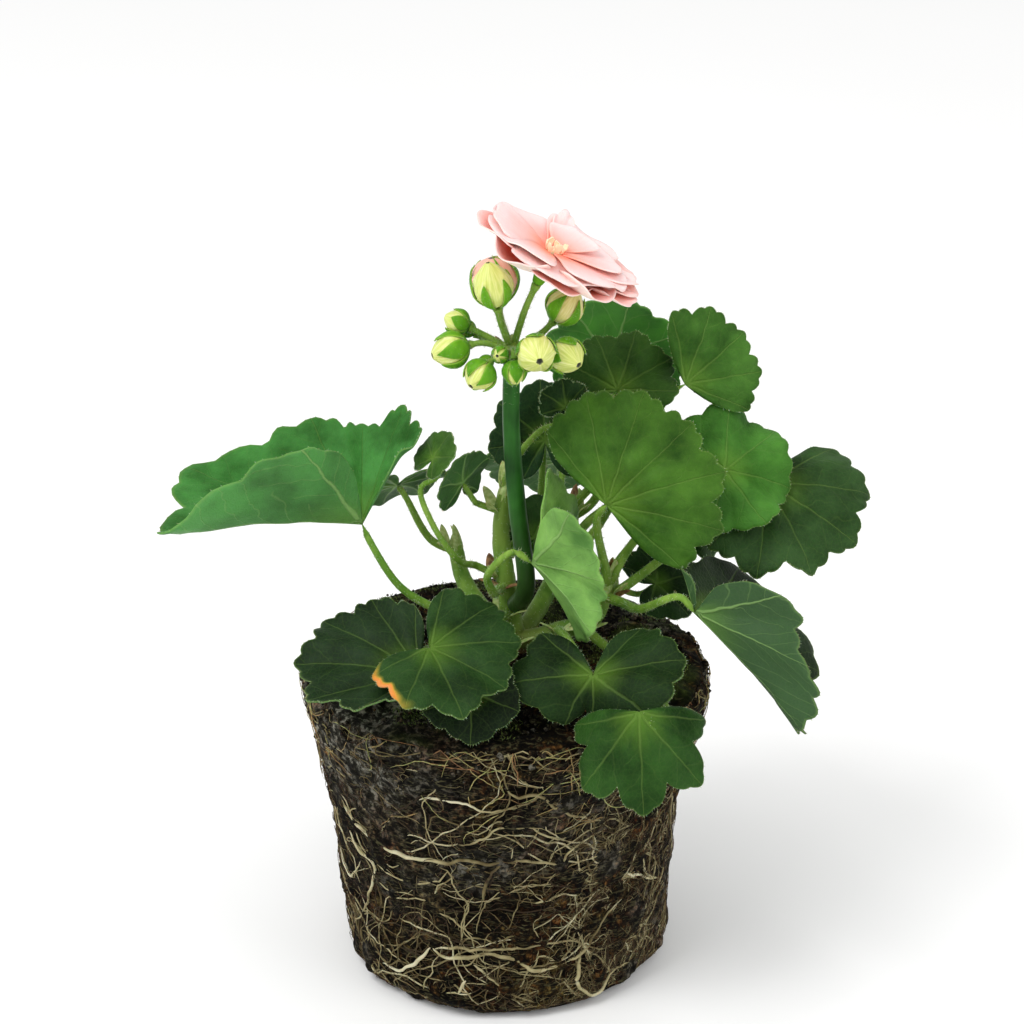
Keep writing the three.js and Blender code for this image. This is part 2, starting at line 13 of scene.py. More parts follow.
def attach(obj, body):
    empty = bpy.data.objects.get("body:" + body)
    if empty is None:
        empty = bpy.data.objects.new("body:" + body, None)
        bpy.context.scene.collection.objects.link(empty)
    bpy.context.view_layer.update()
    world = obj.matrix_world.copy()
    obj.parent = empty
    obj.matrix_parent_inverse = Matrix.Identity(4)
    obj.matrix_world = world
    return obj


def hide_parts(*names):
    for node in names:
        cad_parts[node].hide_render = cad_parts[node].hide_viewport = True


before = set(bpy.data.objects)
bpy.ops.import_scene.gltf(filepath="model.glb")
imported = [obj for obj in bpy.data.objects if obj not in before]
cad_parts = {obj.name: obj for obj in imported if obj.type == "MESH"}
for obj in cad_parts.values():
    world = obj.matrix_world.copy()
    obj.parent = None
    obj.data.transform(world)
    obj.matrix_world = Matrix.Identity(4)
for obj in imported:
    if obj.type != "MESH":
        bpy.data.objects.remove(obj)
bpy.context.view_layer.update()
rng = np.random.default_rng(12)
print("nodes", len(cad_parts))

# %% [markdown]
# ## Colours and nodes
# A colour picked by eye is an sRGB hex value, while a shader works in linear light, so one function turns
# the one into the other. A second adds any node with its settings and links. A list fills a node's shown
# sockets in order, and a dictionary fills them by name, which keeps long node trees readable as plain
# Python.


# %% Colours and nodes
def linear(code):
    """An sRGB hex colour in linear light: v / 12.92 if dark, else ((v + 0.055) / 1.055) to the power 2.4."""
    values = np.array([int(code[i : i + 2], 16) for i in (1, 3, 5)]) / 255
    light = np.where(values <= 0.04045, values / 12.92, ((values + 0.055) / 1.055) ** 2.4)
    return (*light.tolist(), 1.0)


def add(tree, kind, links=(), stops=None, **settings):
    """Adds a node. A link is a value, or a node whose first shown output is used, or one output of a node."""
    node = tree.nodes.new("ShaderNode" + kind)
    for key, value in settings.items():
        setattr(node, key, value)
    shown = [socket for socket in node.inputs if socket.enabled]
    for key, value in links.items() if isinstance(links, dict) else enumerate(links):
        socket = shown[key] if isinstance(key, int) else next(s for s in shown if s.name == key)
        if isinstance(value, bpy.types.Node):
            value = next(s for s in value.outputs if s.enabled)
        if isinstance(value, bpy.types.NodeSocket):
            tree.links.new(value, socket)
        else:
            socket.default_value = value
    if stops:
        ramp = node.color_ramp.elements
        while len(ramp) < len(stops):
            ramp.new(0.5)
        for element, (place, colour) in zip(ramp, stops):
            element.position = place
            element.color = linear(colour)
    return node


def new_material(name):
    material = bpy.data.materials.new(name)
    material.use_nodes = True
    material.node_tree.nodes.clear()
    return material, material.node_tree


def finish_with(tree, shader):
    add(tree, "OutputMaterial", {"Surface": shader})


print("peat brown in linear light", np.round(linear("#3a2a20")[:3], 3))

# %% [markdown]
# ## Places in space
# Leaves and flowers are worked out flat on a table, in their own right, forward and up, and then placed.
# Their stalks follow a centripetal Catmull-Rom curve, which passes through every stop without loops or
# overshoot.


# %% Directions, frames and routes
def direction(azimuth, elevation):
    """The unit vector at an azimuth from +X towards +Y and an elevation above the horizon, in degrees."""
    a, e = np.radians(azimuth), np.radians(elevation)
    return np.stack([np.cos(e) * np.cos(a), np.cos(e) * np.sin(a), np.sin(e) + 0 * a], -1)


def unit(v):
    return v / np.maximum(np.linalg.norm(v, axis=-1, keepdims=True), 1e-9)


def frame_of(face, turn):
    """Rows right, forward and up. Forward is the steepest line of the faced plane, turned clockwise."""
    up = direction(*face)
    steepest = unit(np.array([0, 0, 1.0]) - up[2] * up)
    side = np.cross(steepest, up)
    forward = steepest * np.cos(np.radians(turn)) + side * np.sin(np.radians(turn))
    return np.array([np.cross(forward, up), forward, up])


def route(stops, count):
    """Evenly spaced points of a centripetal Catmull-Rom curve, and the unit tangents there.

    Between two stops a point is the cubic c0 + c1 t + c2 t^2 + c3 t^3. Its slope at a stop comes from that
    stop and its two neighbours, weighted by the square roots of the distances between them.
    """
    p = np.array(stops, float)
    p = np.vstack([2 * p[0] - p[1], p, 2 * p[-1] - p[-2]])
    gap = np.sqrt(np.linalg.norm(np.diff(p, axis=0), axis=1))
    t = np.linspace(0, 1, 25)[:, None]
    pieces = []
    for i in range(1, len(p) - 2):
        a, b, c, d = p[i - 1 : i + 3]
        ga, gb, gc = gap[i - 1 : i + 2]
        start = ((b - a) / ga - (c - a) / (ga + gb) + (c - b) / gb) * gb
        end = ((c - b) / gb - (d - b) / (gb + gc) + (d - c) / gc) * gb
        cubic = 3 * (c - b) - 2 * start - end, 2 * (b - c) + start + end
        pieces.append(b + start * t + cubic[0] * t**2 + cubic[1] * t**3)
    dense = np.vstack([piece[:-1] for piece in pieces] + [pieces[-1][-1:]])
    length = np.concatenate([[0], np.cumsum(np.linalg.norm(np.diff(dense, axis=0), axis=1))])
    even = np.linspace(0, length[-1], count)
    points = np.stack([np.interp(even, length, dense[:, k]) for k in range(3)], -1)
    return points, unit(np.gradient(points, axis=0))


print("a quarter turn looks along", np.round(frame_of((0, 0), 90)[1], 2))

# %% [markdown]
# ## Uneven surfaces
# Nothing on a plant is even. A value noise gives the unevenness: chance values on a lattice, blended smoothly
# between its corners. It could come from a texture, but a shape made of numbers is part of the mesh itself.

# %% Value noise
lattice = rng.random(4096) * 2 - 1


def noise(points, scale, octaves=1):
    """Noise from -1 to 1. Each point lies in a cube of the lattice, and its value blends the eight corners'.

    The blend weights are 3 f^2 - 2 f^3 of the place in the cube. Each octave has half the size and half the
    height of the one before it.
    """
    total = 0
    for octave in range(octaves):
        place = np.asarray(points) * 2**octave / scale + 31.7 * octave
        cell = np.floor(place).astype(np.int64)
        f = place - cell
        f = f * f * (3 - 2 * f)
        value = 0
        for corner in np.ndindex(2, 2, 2):
            c = cell + np.array(corner)
            key = (c[..., 0] * 73856093) ^ (c[..., 1] * 19349663) ^ (c[..., 2] * 83492791)
            weight = np.prod(np.where(corner, f, 1 - f), axis=-1)
            value = value + weight * lattice[(key ^ (key >> 13)) % len(lattice)]
        total = total + value / 2**octave
    return total


def smooth(low, high, x):
    """0 up to low, 1 from high, and t^2 (3 - 2 t) between."""
    t = np.clip((x - low) / (high - low), 0, 1)
    return t * t * (3 - 2 * t)


print("noise spread", np.round(noise(rng.random((1000, 3)) * 90, 7.0, 3).std(), 2))

# %% [markdown]
# ## Skins
# Three closed skins make nearly all of the plant: a tube carried along a path, a thin sheet with two sides
# and a rim, and a three-sided needle for hairs and moss. Each is a table of points, its faces and its named
# attributes. The tubes and needles come in sets, so that a thousand roots are one array and not a thousand
# objects.


# %% Tubes, sheets and needles
no_tris = np.zeros((0, 3), int)


def grid_faces(rows, columns, wrap):
    """Four corners for each cell of a grid, counted row by row. Wrapped, its last column joins its first."""
    i, j = np.meshgrid(np.arange(rows - 1), np.arange(columns if wrap else columns - 1), indexing="ij")
    here, after = i * columns, (i + 1) * columns
    nxt = (j + 1) % columns
    return np.stack([here + j, here + nxt, after + nxt, after + j], -1).reshape(-1, 4)


def pole_faces(rings, around):
    """Triangles that close a wrapped grid at its first ring and its last, with the two points after it."""
    k = np.arange(around)
    nxt, last = (k + 1) % around, (rings - 1) * around
    first_pole, second_pole = np.full(around, rings * around), np.full(around, rings * around + 1)
    return np.stack([first_pole, nxt, k], -1), np.stack([second_pole, last + k, last + nxt], -1)


def rim_of(rows, columns):
    """The points round the rim of a grid, in order."""
    ring = np.arange(rows * columns).reshape(rows, columns)
    return np.concatenate([ring[0], ring[1:, -1], ring[-1, -2::-1], ring[-2:0:-1, 0]])


def tubes(paths, radii, sides, outward=None, **attributes):
    """Round tubes: at each station a circle across the path, of that station's radius, and two end points.

    Paths are tubes x stations x 3, or stations x 3 for one tube. Radii and attributes are tubes x stations.
    """
    paths = paths if np.ndim(paths) == 3 else np.asarray(paths)[None]
    count, stations, _ = paths.shape
    radii = np.broadcast_to(radii, paths.shape[:2])[..., None, None]
    tangent = unit(np.gradient(paths, axis=1))
    if outward is None:
        mean = np.abs(unit(paths[:, -1] - paths[:, 0]))
        outward = np.eye(3)[np.argmin(mean, axis=1)][:, None]
    side = unit(np.cross(tangent, np.broadcast_to(outward, paths.shape)))
    over = np.cross(tangent, side)
    angle = 2 * np.pi * np.arange(sides) / sides
    across = side[:, :, None] * np.cos(angle)[:, None] + over[:, :, None] * np.sin(angle)[:, None]
    ring = paths[:, :, None] + radii * across
    ends = paths[:, [0, -1]]
    points = np.concatenate([ring.reshape(count, -1, 3), ends], axis=1)
    body, caps = grid_faces(stations, sides, True), np.concatenate(pole_faces(stations, sides))
    shift = (np.arange(count) * (stations * sides + 2))[:, None, None]
    named = {}
    for name, value in attributes.items():
        value = np.broadcast_to(np.asarray(value, float), paths.shape[:2])
        named[name] = np.concatenate([np.repeat(value, sides, axis=1), value[:, [0, -1]]], axis=1).ravel()
    return {
        "points": points.reshape(-1, 3),
        "quads": (body[None] + shift).reshape(-1, 4),
        "tris": (caps[None] + shift).reshape(-1, 3),
        "attributes": named,
    }


def needles(feet, tips, width):
    """Closed three-sided needles: three points round each foot, across the needle, and one at its tip."""
    along = unit(tips - feet)
    side = unit(np.cross(along, np.where(np.abs(along[:, 2:]) > 0.9, [[1.0, 0, 0]], [[0, 0, 1.0]])))
    over = np.cross(along, side)
    turns = np.radians([0, 120, 240])
    base = feet[:, None] + 0.5 * width * (
        side[:, None] * np.cos(turns)[:, None] + over[:, None] * np.sin(turns)[:, None]
    )
    points = np.concatenate([base, tips[:, None]], axis=1).reshape(-1, 3)
    faces = np.array([[0, 2, 1], [0, 1, 3], [1, 2, 3], [2, 0, 3]])
    shift = 4 * np.arange(len(feet))[:, None, None]
    return {"points": points, "tris": (faces + shift).reshape(-1, 3), "attributes": {}}


def sheet_normals(points, quads, tris):
    """The unit normal at each point: the sum of the areas' normals of the faces that meet there."""
    total = np.zeros_like(points)
    for faces in (quads, tris):
        a, b, c = (points[faces[:, k]] for k in (0, 1, -1))
        area = np.cross(b - a, c - a)
        for k in range(faces.shape[1]):
            np.add.at(total, faces[:, k], area)
    return unit(total)


def two_sided(points, quads, tris, loop, thickness, **attributes):
    """A sheet as a closed skin: its points moved half the thickness up and down their normals, and a rim."""
    normal = sheet_normals(points, quads, tris)
    half, count = 0.5 * thickness, len(points)
    nxt = np.roll(loop, -1)
    rim = np.stack([loop, loop + count, nxt + count, nxt], -1)
    skins = np.concatenate([points + half * normal, points - half * normal])
    named = {name: np.concatenate([value, value]) for name, value in attributes.items()}
    named["upper"] = np.repeat([1.0, 0.0], count)
    return {
        "points": skins,
        "quads": np.concatenate([quads, quads[:, ::-1] + count, rim]),
        "tris": np.concatenate([tris, tris[:, ::-1] + count]),
        "attributes": named,
    }


print("a needle has", len(needles(np.zeros((1, 3)), np.ones((1, 3)), 1)["tris"]), "faces")

# %% [markdown]
# ## From skins to a piece
# A piece is one object, made of one or more skins that each have a material, and those materials fill its
# material slots. foreach_set hands whole arrays to Blender. Each piece then rides on the plant's one body and
# takes the place of its CAD node, which it hides.


# %% Making a piece
def volume(skin):
    """A closed skin's volume: the sum of a . (b x c) / 6 over its triangles, above 0 where they face out."""
    quads = skin.get("quads", np.zeros((0, 4), int))
    tris = np.concatenate([skin["tris"], quads[:, [0, 1, 2]], quads[:, [0, 2, 3]]])
    a, b, c = (skin["points"][tris[:, k]] for k in range(3))
    return (a * np.cross(b, c)).sum() / 6


def make_piece(name, skins, node):
    """One mesh from skins and their materials. Where a skin lacks an attribute, it gets zeros."""
    counts = [len(skin["points"]) for skin, _ in skins]
    starts = np.concatenate([[0], np.cumsum(counts)[:-1]])
    faces, owner = [], []
    for index, ((skin, _), start) in enumerate(zip(skins, starts)):
        for kind in ("quads", "tris"):
            if kind in skin and len(skin[kind]):
                faces.append(skin[kind] + start)
                owner.append(np.full(len(skin[kind]), index))
    corners = np.concatenate([f.ravel() for f in faces])
    sizes = np.concatenate([np.full(len(f), f.shape[1]) for f in faces])
    mesh = bpy.data.meshes.new(name)
    mesh.vertices.add(sum(counts))
    points = np.concatenate([skin["points"] for skin, _ in skins]) / 1000
    mesh.vertices.foreach_set("co", points.ravel())
    mesh.loops.add(len(corners))
    mesh.loops.foreach_set("vertex_index", corners)
    mesh.polygons.add(len(sizes))
    mesh.polygons.foreach_set("loop_start", np.concatenate([[0], np.cumsum(sizes)[:-1]]))
    mesh.update(calc_edges=True)
    mesh.polygons.foreach_set("use_smooth", np.ones(len(sizes), bool))
    materials = list(dict.fromkeys(material for _, material in skins))
    for material in materials:
        mesh.materials.append(material)
    slots = np.array([materials.index(material) for _, material in skins])
    mesh.polygons.foreach_set("material_index", slots[np.concatenate(owner)])
    for key in sorted({key for skin, _ in skins for key in skin["attributes"]}):
        shape = next(skin["attributes"][key].shape[1:] for skin, _ in skins if key in skin["attributes"])
        missing = [np.zeros((count, *shape)) for count in counts]
        values = [skin["attributes"].get(key, zeros) for (skin, _), zeros in zip(skins, missing)]
        kind, field = ("FLOAT_VECTOR", "vector") if shape else ("FLOAT", "value")
        attribute = mesh.attributes.new(key, kind, "POINT")
        attribute.data.foreach_set(field, np.concatenate(values).astype(np.float32).ravel())
    mesh.validate()
    assert min(volume(skin) for skin, _ in skins) > 0, name
    piece = bpy.data.objects.new(name, mesh)
    bpy.context.scene.collection.objects.link(piece)
    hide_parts(node)
    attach(piece, "root")
    triangles = int((sizes - 2).sum())
    print(name, triangles, "triangles")
    return triangles


total_triangles = 0

# %% [markdown]
# ## Leaf, the living surface
# A zonal geranium's blade is a thin downy tissue. Its upper side is green with paler, sunken veins, and a
# satin bloom from thousands of hairs. Its underside is a slightly paler green with raised veins. The veins
# could be painted by hand on a map. Here the mesh carries each point's place among the veins, as the number
# of the nearest main vein and the distance along it, and the shader draws them from that, so they fan from
# the stalk as real ones do.


# %% Blade tissue
def blade_tissue():
    """Thin downy leaf tissue: soft satin green, veins pale and sunken above, raised below."""
    material, tree = new_material("downy_geranium_leaf")
    vein = add(tree, "SeparateXYZ", [add(tree, "Attribute", attribute_name="vein").outputs["Vector"]])
    number, along, spread = vein.outputs
    share = add(tree, "Attribute", attribute_name="share").outputs["Fac"]
    upper = add(tree, "Attribute", attribute_name="upper").outputs["Fac"]
    # The leaf's green carries painted shade and painted light. It is darker on the lower leaves, which lie in
    # shade, and lighter on leaf_15, which light shines through.
    tone = add(tree, "Attribute", attribute_name="tone").outputs["Vector"]
    autumn = add(tree, "Attribute", attribute_name="autumn").outputs["Fac"]
    place = add(tree, "TexCoord").outputs["Object"]

    # The patterns' real sizes in millimetres, as repeats in each metre of Object coordinates.
    blotch_mm, cell_mm, grain_mm, wander_mm = 14.0, 1.3, 0.35, 6.0
    wander = add(tree, "TexNoise", {"Vector": place, "Scale": 1000 / wander_mm, "Detail": 2.0})
    wander = add(tree, "Math", [wander.outputs["Fac"], 0.5], operation="SUBTRACT")

    # Across a main vein: the angle to it times the distance from the stalk.
    nearest = add(tree, "Math", [number], operation="ROUND")
    offset = add(tree, "Math", [number, nearest], operation="SUBTRACT")
    reach = add(tree, "Math", [along, spread], operation="MULTIPLY")
    across = add(tree, "Math", [offset, reach], operation="MULTIPLY")
    across = add(tree, "Math", [wander, 1.3, across], operation="MULTIPLY_ADD")
    apart = add(tree, "Math", [across], operation="ABSOLUTE")
    width = add(tree, "MapRange", [share, 0.0, 1.0, 0.45, 0.12])
    main = add(tree, "Math", [apart, width], operation="DIVIDE")
    main = add(tree, "MapRange", [main, 0.4, 1.6, 1.0, 0.0], interpolation_type="SMOOTHSTEP")

    # Side veins leave it forwards, 7 mm apart, and alternate between its two sides.
    side_mm, forwards = 7.0, 1.15
    sign = add(tree, "Math", [offset], operation="SIGN")
    ahead = add(tree, "Math", [apart, -forwards, along], operation="MULTIPLY_ADD")
    ahead = add(tree, "Math", [sign, 0.25 * side_mm, ahead], operation="MULTIPLY_ADD")
    ahead = add(tree, "Math", [wander, 5.0, ahead], operation="MULTIPLY_ADD")
    ahead = add(tree, "Math", [ahead, side_mm], operation="DIVIDE")
    ahead = add(tree, "Math", [ahead], operation="FRACT")
    ahead = add(tree, "Math", [ahead, 0.5], operation="SUBTRACT")
    ahead = add(tree, "Math", [ahead], operation="ABSOLUTE")
    ahead = add(tree, "Math", [ahead, side_mm], operation="MULTIPLY")
    side = add(tree, "MapRange", [ahead, 0.05, 0.38, 1.0, 0.0], interpolation_type="SMOOTHSTEP")
    outer = add(tree, "MapRange", [share, 0.18, 0.4, 0.0, 0.25])
    side = add(tree, "Math", [side, outer], operation="MULTIPLY")
    veins = add(tree, "Math", [main, side], operation="MAXIMUM")
    cells = add(tree, "TexVoronoi", {"Vector": place, "Scale": 1000 / cell_mm}, feature="DISTANCE_TO_EDGE")
    net = add(tree, "MapRange", [cells.outputs["Distance"], 0.0, 0.14, 1.0, 0.0])

    # Colour: the leaf's own green with its painted shade and light, darker blotches, a yellow-green glow at
    # the stalk, pale veins and margin.
    blotch = {"Vector": place, "Scale": 1000 / blotch_mm, "Detail": 4.0, "Roughness": 0.6}
    blotch = add(tree, "TexNoise", blotch)
    shade = add(tree, "ValToRGB", [blotch.outputs["Fac"]], stops=[(0.32, "#86a074"), (0.64, "#ffffff")])
    colour = add(tree, "Mix", [1.0, tone, shade], data_type="RGBA", blend_type="MULTIPLY")
    glow = add(tree, "MapRange", [share, 0.0, 0.5, 0.55, 0.0], interpolation_type="SMOOTHSTEP")
    colour = add(tree, "Mix", [glow, colour, linear("#5f8426")], data_type="RGBA")
    netted = add(tree, "Math", [net, 0.04], operation="MULTIPLY")
    colour = add(tree, "Mix", [netted, colour, linear("#6f9440")], data_type="RGBA")
    strength = add(tree, "Math", [veins, 0.18], operation="MULTIPLY")
    colour = add(tree, "Mix", [strength, colour, linear("#7f9f4e")], data_type="RGBA")
    edge = add(tree, "MapRange", [share, 0.98, 1.0, 0.0, 0.25])
    colour = add(tree, "Mix", [edge, colour, linear("#8fae5c")], data_type="RGBA")
    warm = add(tree, "ValToRGB", [autumn], stops=[(0.0, "#a8b23c"), (0.5, "#d98a3a"), (1.0, "#e8955c")])
    turned = add(tree, "MapRange", [autumn, 0.05, 0.4, 0.0, 1.0])
    colour = add(tree, "Mix", [turned, colour, warm], data_type="RGBA")

    # The underside: the same tissue through more air and hair, so a little paler.
    pale = add(tree, "Mix", [0.16, colour, linear("#86bb7c")], data_type="RGBA")
    ribs = add(tree, "Math", [veins, 0.5], operation="MULTIPLY")
    pale = add(tree, "Mix", [ribs, pale, linear("#8fb36c")], data_type="RGBA")
    colour = add(tree, "Mix", [upper, pale, colour], data_type="RGBA")

    # Relief: veins 0.35 mm down above and 0.5 mm up below, the cells between them, and the down as a grain.
    sense = add(tree, "MapRange", [upper, 0.0, 1.0, 0.5, -0.35])
    relief = add(tree, "Math", [veins, sense], operation="MULTIPLY")
    relief = add(tree, "Math", [net, -0.07, relief], operation="MULTIPLY_ADD")
    grain = add(tree, "TexNoise", {"Vector": place, "Scale": 1000 / grain_mm, "Detail": 2.0})
    relief = add(tree, "Math", [grain.outputs["Fac"], 0.06, relief], operation="MULTIPLY_ADD")
    bump = add(tree, "Bump", {"Strength": 0.7, "Distance": 0.001, "Height": relief})
    rough = add(tree, "MapRange", [blotch.outputs["Fac"], 0.3, 0.7, 0.62, 0.5])
    shader = add(tree, "BsdfPrincipled", {
        "Base Color": colour, "Roughness": rough, "Normal": bump, "Specular IOR Level": 0.12,
        "Subsurface Weight": 0.15, "Subsurface Radius": (0.5, 1.0, 0.25), "Subsurface Scale": 0.0012,
        "Sheen Weight": 0.015, "Sheen Roughness": 0.5, "Sheen Tint": linear("#b8d0a0"),
    })
    finish_with(tree, shader)
    return material


blade_material = blade_tissue()
print("made", blade_material.name)

# %% [markdown]
# ## Stalks and hairs
# A young stalk is soft, pale and evenly green, a little redder or browner with age at its foot. Its colour
# comes from slow noise along it. The hairs that catch the light round every outline are clear cells, so
# they get a pale silver green that lets light through under its surface, instead of the leaf's own green.


# %% Stalk and hair materials
def stalk_skin(name, dark, light, old, roughness=0.5):
    """Green stalk skin: smooth and waxy under fine down, lighter where the light has bleached it.

    A scale of 700 repeats in a metre makes streaks 1.4 mm across, eight times as long up the plant, and
    one of 90 makes patches of 11 mm.
    """
    material, tree = new_material(name)
    place = add(tree, "TexCoord").outputs["Object"]
    streak = add(tree, "Mapping", {"Vector": place, "Scale": (1.0, 1.0, 0.12)})
    streak = add(tree, "TexNoise", {"Vector": streak, "Scale": 700.0, "Detail": 3.0})
    patch = add(tree, "TexNoise", {"Vector": place, "Scale": 90.0, "Detail": 3.0})
    mixed = add(tree, "Math", [streak.outputs["Fac"], 0.5, patch.outputs["Fac"]], operation="MULTIPLY_ADD")
    colour = add(tree, "ValToRGB", [mixed], stops=[(0.55, dark), (0.95, light)])
    age = add(tree, "Attribute", attribute_name="age").outputs["Fac"]
    colour = add(tree, "Mix", [age, colour, linear(old)], data_type="RGBA")
    bump = add(tree, "Bump", {"Strength": 0.35, "Distance": 0.0004, "Height": streak.outputs["Fac"]})
    shader = add(tree, "BsdfPrincipled", {
        "Base Color": colour, "Roughness": roughness, "Normal": bump,
        "Specular IOR Level": 0.15, "Subsurface Weight": 0.15, "Subsurface Radius": (0.6, 1.0, 0.3),
        "Subsurface Scale": 0.001, "Sheen Weight": 0.02, "Sheen Roughness": 0.5,
    })
    finish_with(tree, shader)
    return material


def hair_cell():
    """A plant hair: one clear cell, which shows as a pale silver-green line. It varies every 2.5 mm."""
    material, tree = new_material("clear_plant_hair")
    place = add(tree, "TexCoord").outputs["Object"]
    vary = add(tree, "TexNoise", {"Vector": place, "Scale": 400.0, "Detail": 1.0})
    colour = add(tree, "ValToRGB", [vary.outputs["Fac"]], stops=[(0.35, "#9db87c"), (0.65, "#cfdcb4")])
    finish_with(tree, add(tree, "BsdfPrincipled", {
        "Base Color": colour, "Roughness": 0.45, "Subsurface Weight": 0.3, "Subsurface Scale": 0.0005,
    }))
    return material


petiole_material = stalk_skin("downy_leaf_stalk", "#557f24", "#8cae4a", "#6f6a34")
shoot_material = stalk_skin("green_shoot_bark", "#55802a", "#88ad48", "#5d4a2c")
scape_material = stalk_skin("smooth_flower_stalk", "#173f12", "#2c6620", "#36491f", 0.42)
hair_material = hair_cell()
print("made", petiole_material.name, shoot_material.name, scape_material.name, hair_material.name)

# %% [markdown]
# ## The shoots
# Four short shoots branch from the stock that stands in the peat. Each leaf stalk leaves a shoot at a way
# along it, in a direction. The solid's foot clears the shoot, and the finer stalk runs on down into it. These
# rows repeat the solids' own routes, because a finer piece has to lie where the solid is.

# %% Shoots and feet
shoots = {
    "stock": ([[3, 2, 68], [3, 2, 82], [3, 2, 96]], (3.6, 3.4)),
    "a": ([[3, 2, 90], [1, 4, 105], [-1, 6, 122], [0, 7, 136]], (3.1, 2.1)),
    "b": ([[3, 2, 92], [14, 0, 96], [24, -2, 101], [28, -2, 111]], (2.9, 2.2)),
    "c": ([[3, 2, 92], [-6, 12, 97], [-12, 20, 104], [-14, 23, 114]], (2.8, 2.1)),
    "d": ([[3, 2, 92], [10, 14, 98], [16, 24, 108], [18, 28, 120]], (2.8, 2.1)),
}
contact_gap, hair_root = 0.3, 0.1
stalk_foot, stalk_tip = 1.7, 1.1


def foot_of(foot, radius=stalk_foot):
    """Where a solid stalk starts, which way it goes, and the point on the shoot's axis that it comes from.

    It starts a gap and (shoot radius + stalk radius times cosine) / sine from the axis, for the angle
    between stalk and shoot, with a sine of at least 0.3. At a tip it is a gap and stalk radius times sine.
    """
    shoot, way, azimuth, elevation = foot
    stops, (thick, thin) = shoots[shoot]
    points, tangents = route(stops, 201)
    along = direction(azimuth, elevation)
    index = int(round(way * 200))
    cosine = abs(tangents[index] @ along)
    sine = np.linalg.norm(np.cross(tangents[index], along))
    least_sine = 0.3
    beside = (thick + (thin - thick) * way + radius * cosine) / max(sine, least_sine)
    clear = contact_gap + (radius * sine if way == 1 else beside)
    return points[index] + along * clear, along, points[index]


def hairs_on(points, normals, count, lengths, width, lean, seed):
    """Hairs at chance points of a skin, along the normal with a lean by chance, rooted 0.1 mm deep."""
    chance = np.random.default_rng(seed)
    pick = chance.integers(0, len(points), count)
    way = unit(normals[pick] + lean * chance.normal(size=(count, 3)))
    length = chance.uniform(*lengths, (count, 1))
    feet = points[pick] - hair_root * normals[pick]
    return needles(feet, feet + way * length, width)


def tube_hairs(skin, path_points, tangents, stations, sides, count, lengths, width, seed):
    """Hairs all over a tube, from its ring points outwards from the path."""
    rings = skin["points"][: stations * sides].reshape(stations, sides, 3)
    out = unit(rings - path_points[:, None])
    chance = np.random.default_rng(seed)
    i, j = chance.integers(1, stations - 1, count), chance.integers(0, sides, count)
    slide = chance.uniform(-0.5, 0.5, (count, 1))
    step = np.linalg.norm(path_points[1] - path_points[0])
    feet = rings[i, j] + tangents[i] * slide * step
    way = unit(out[i, j] + 0.45 * chance.normal(size=(count, 3)))
    return needles(feet - hair_root * out[i, j], feet + way * chance.uniform(*lengths, (count, 1)), width)


print("leaf 1 starts at", np.round(foot_of(("b", 1, -110, 70))[0], 1))
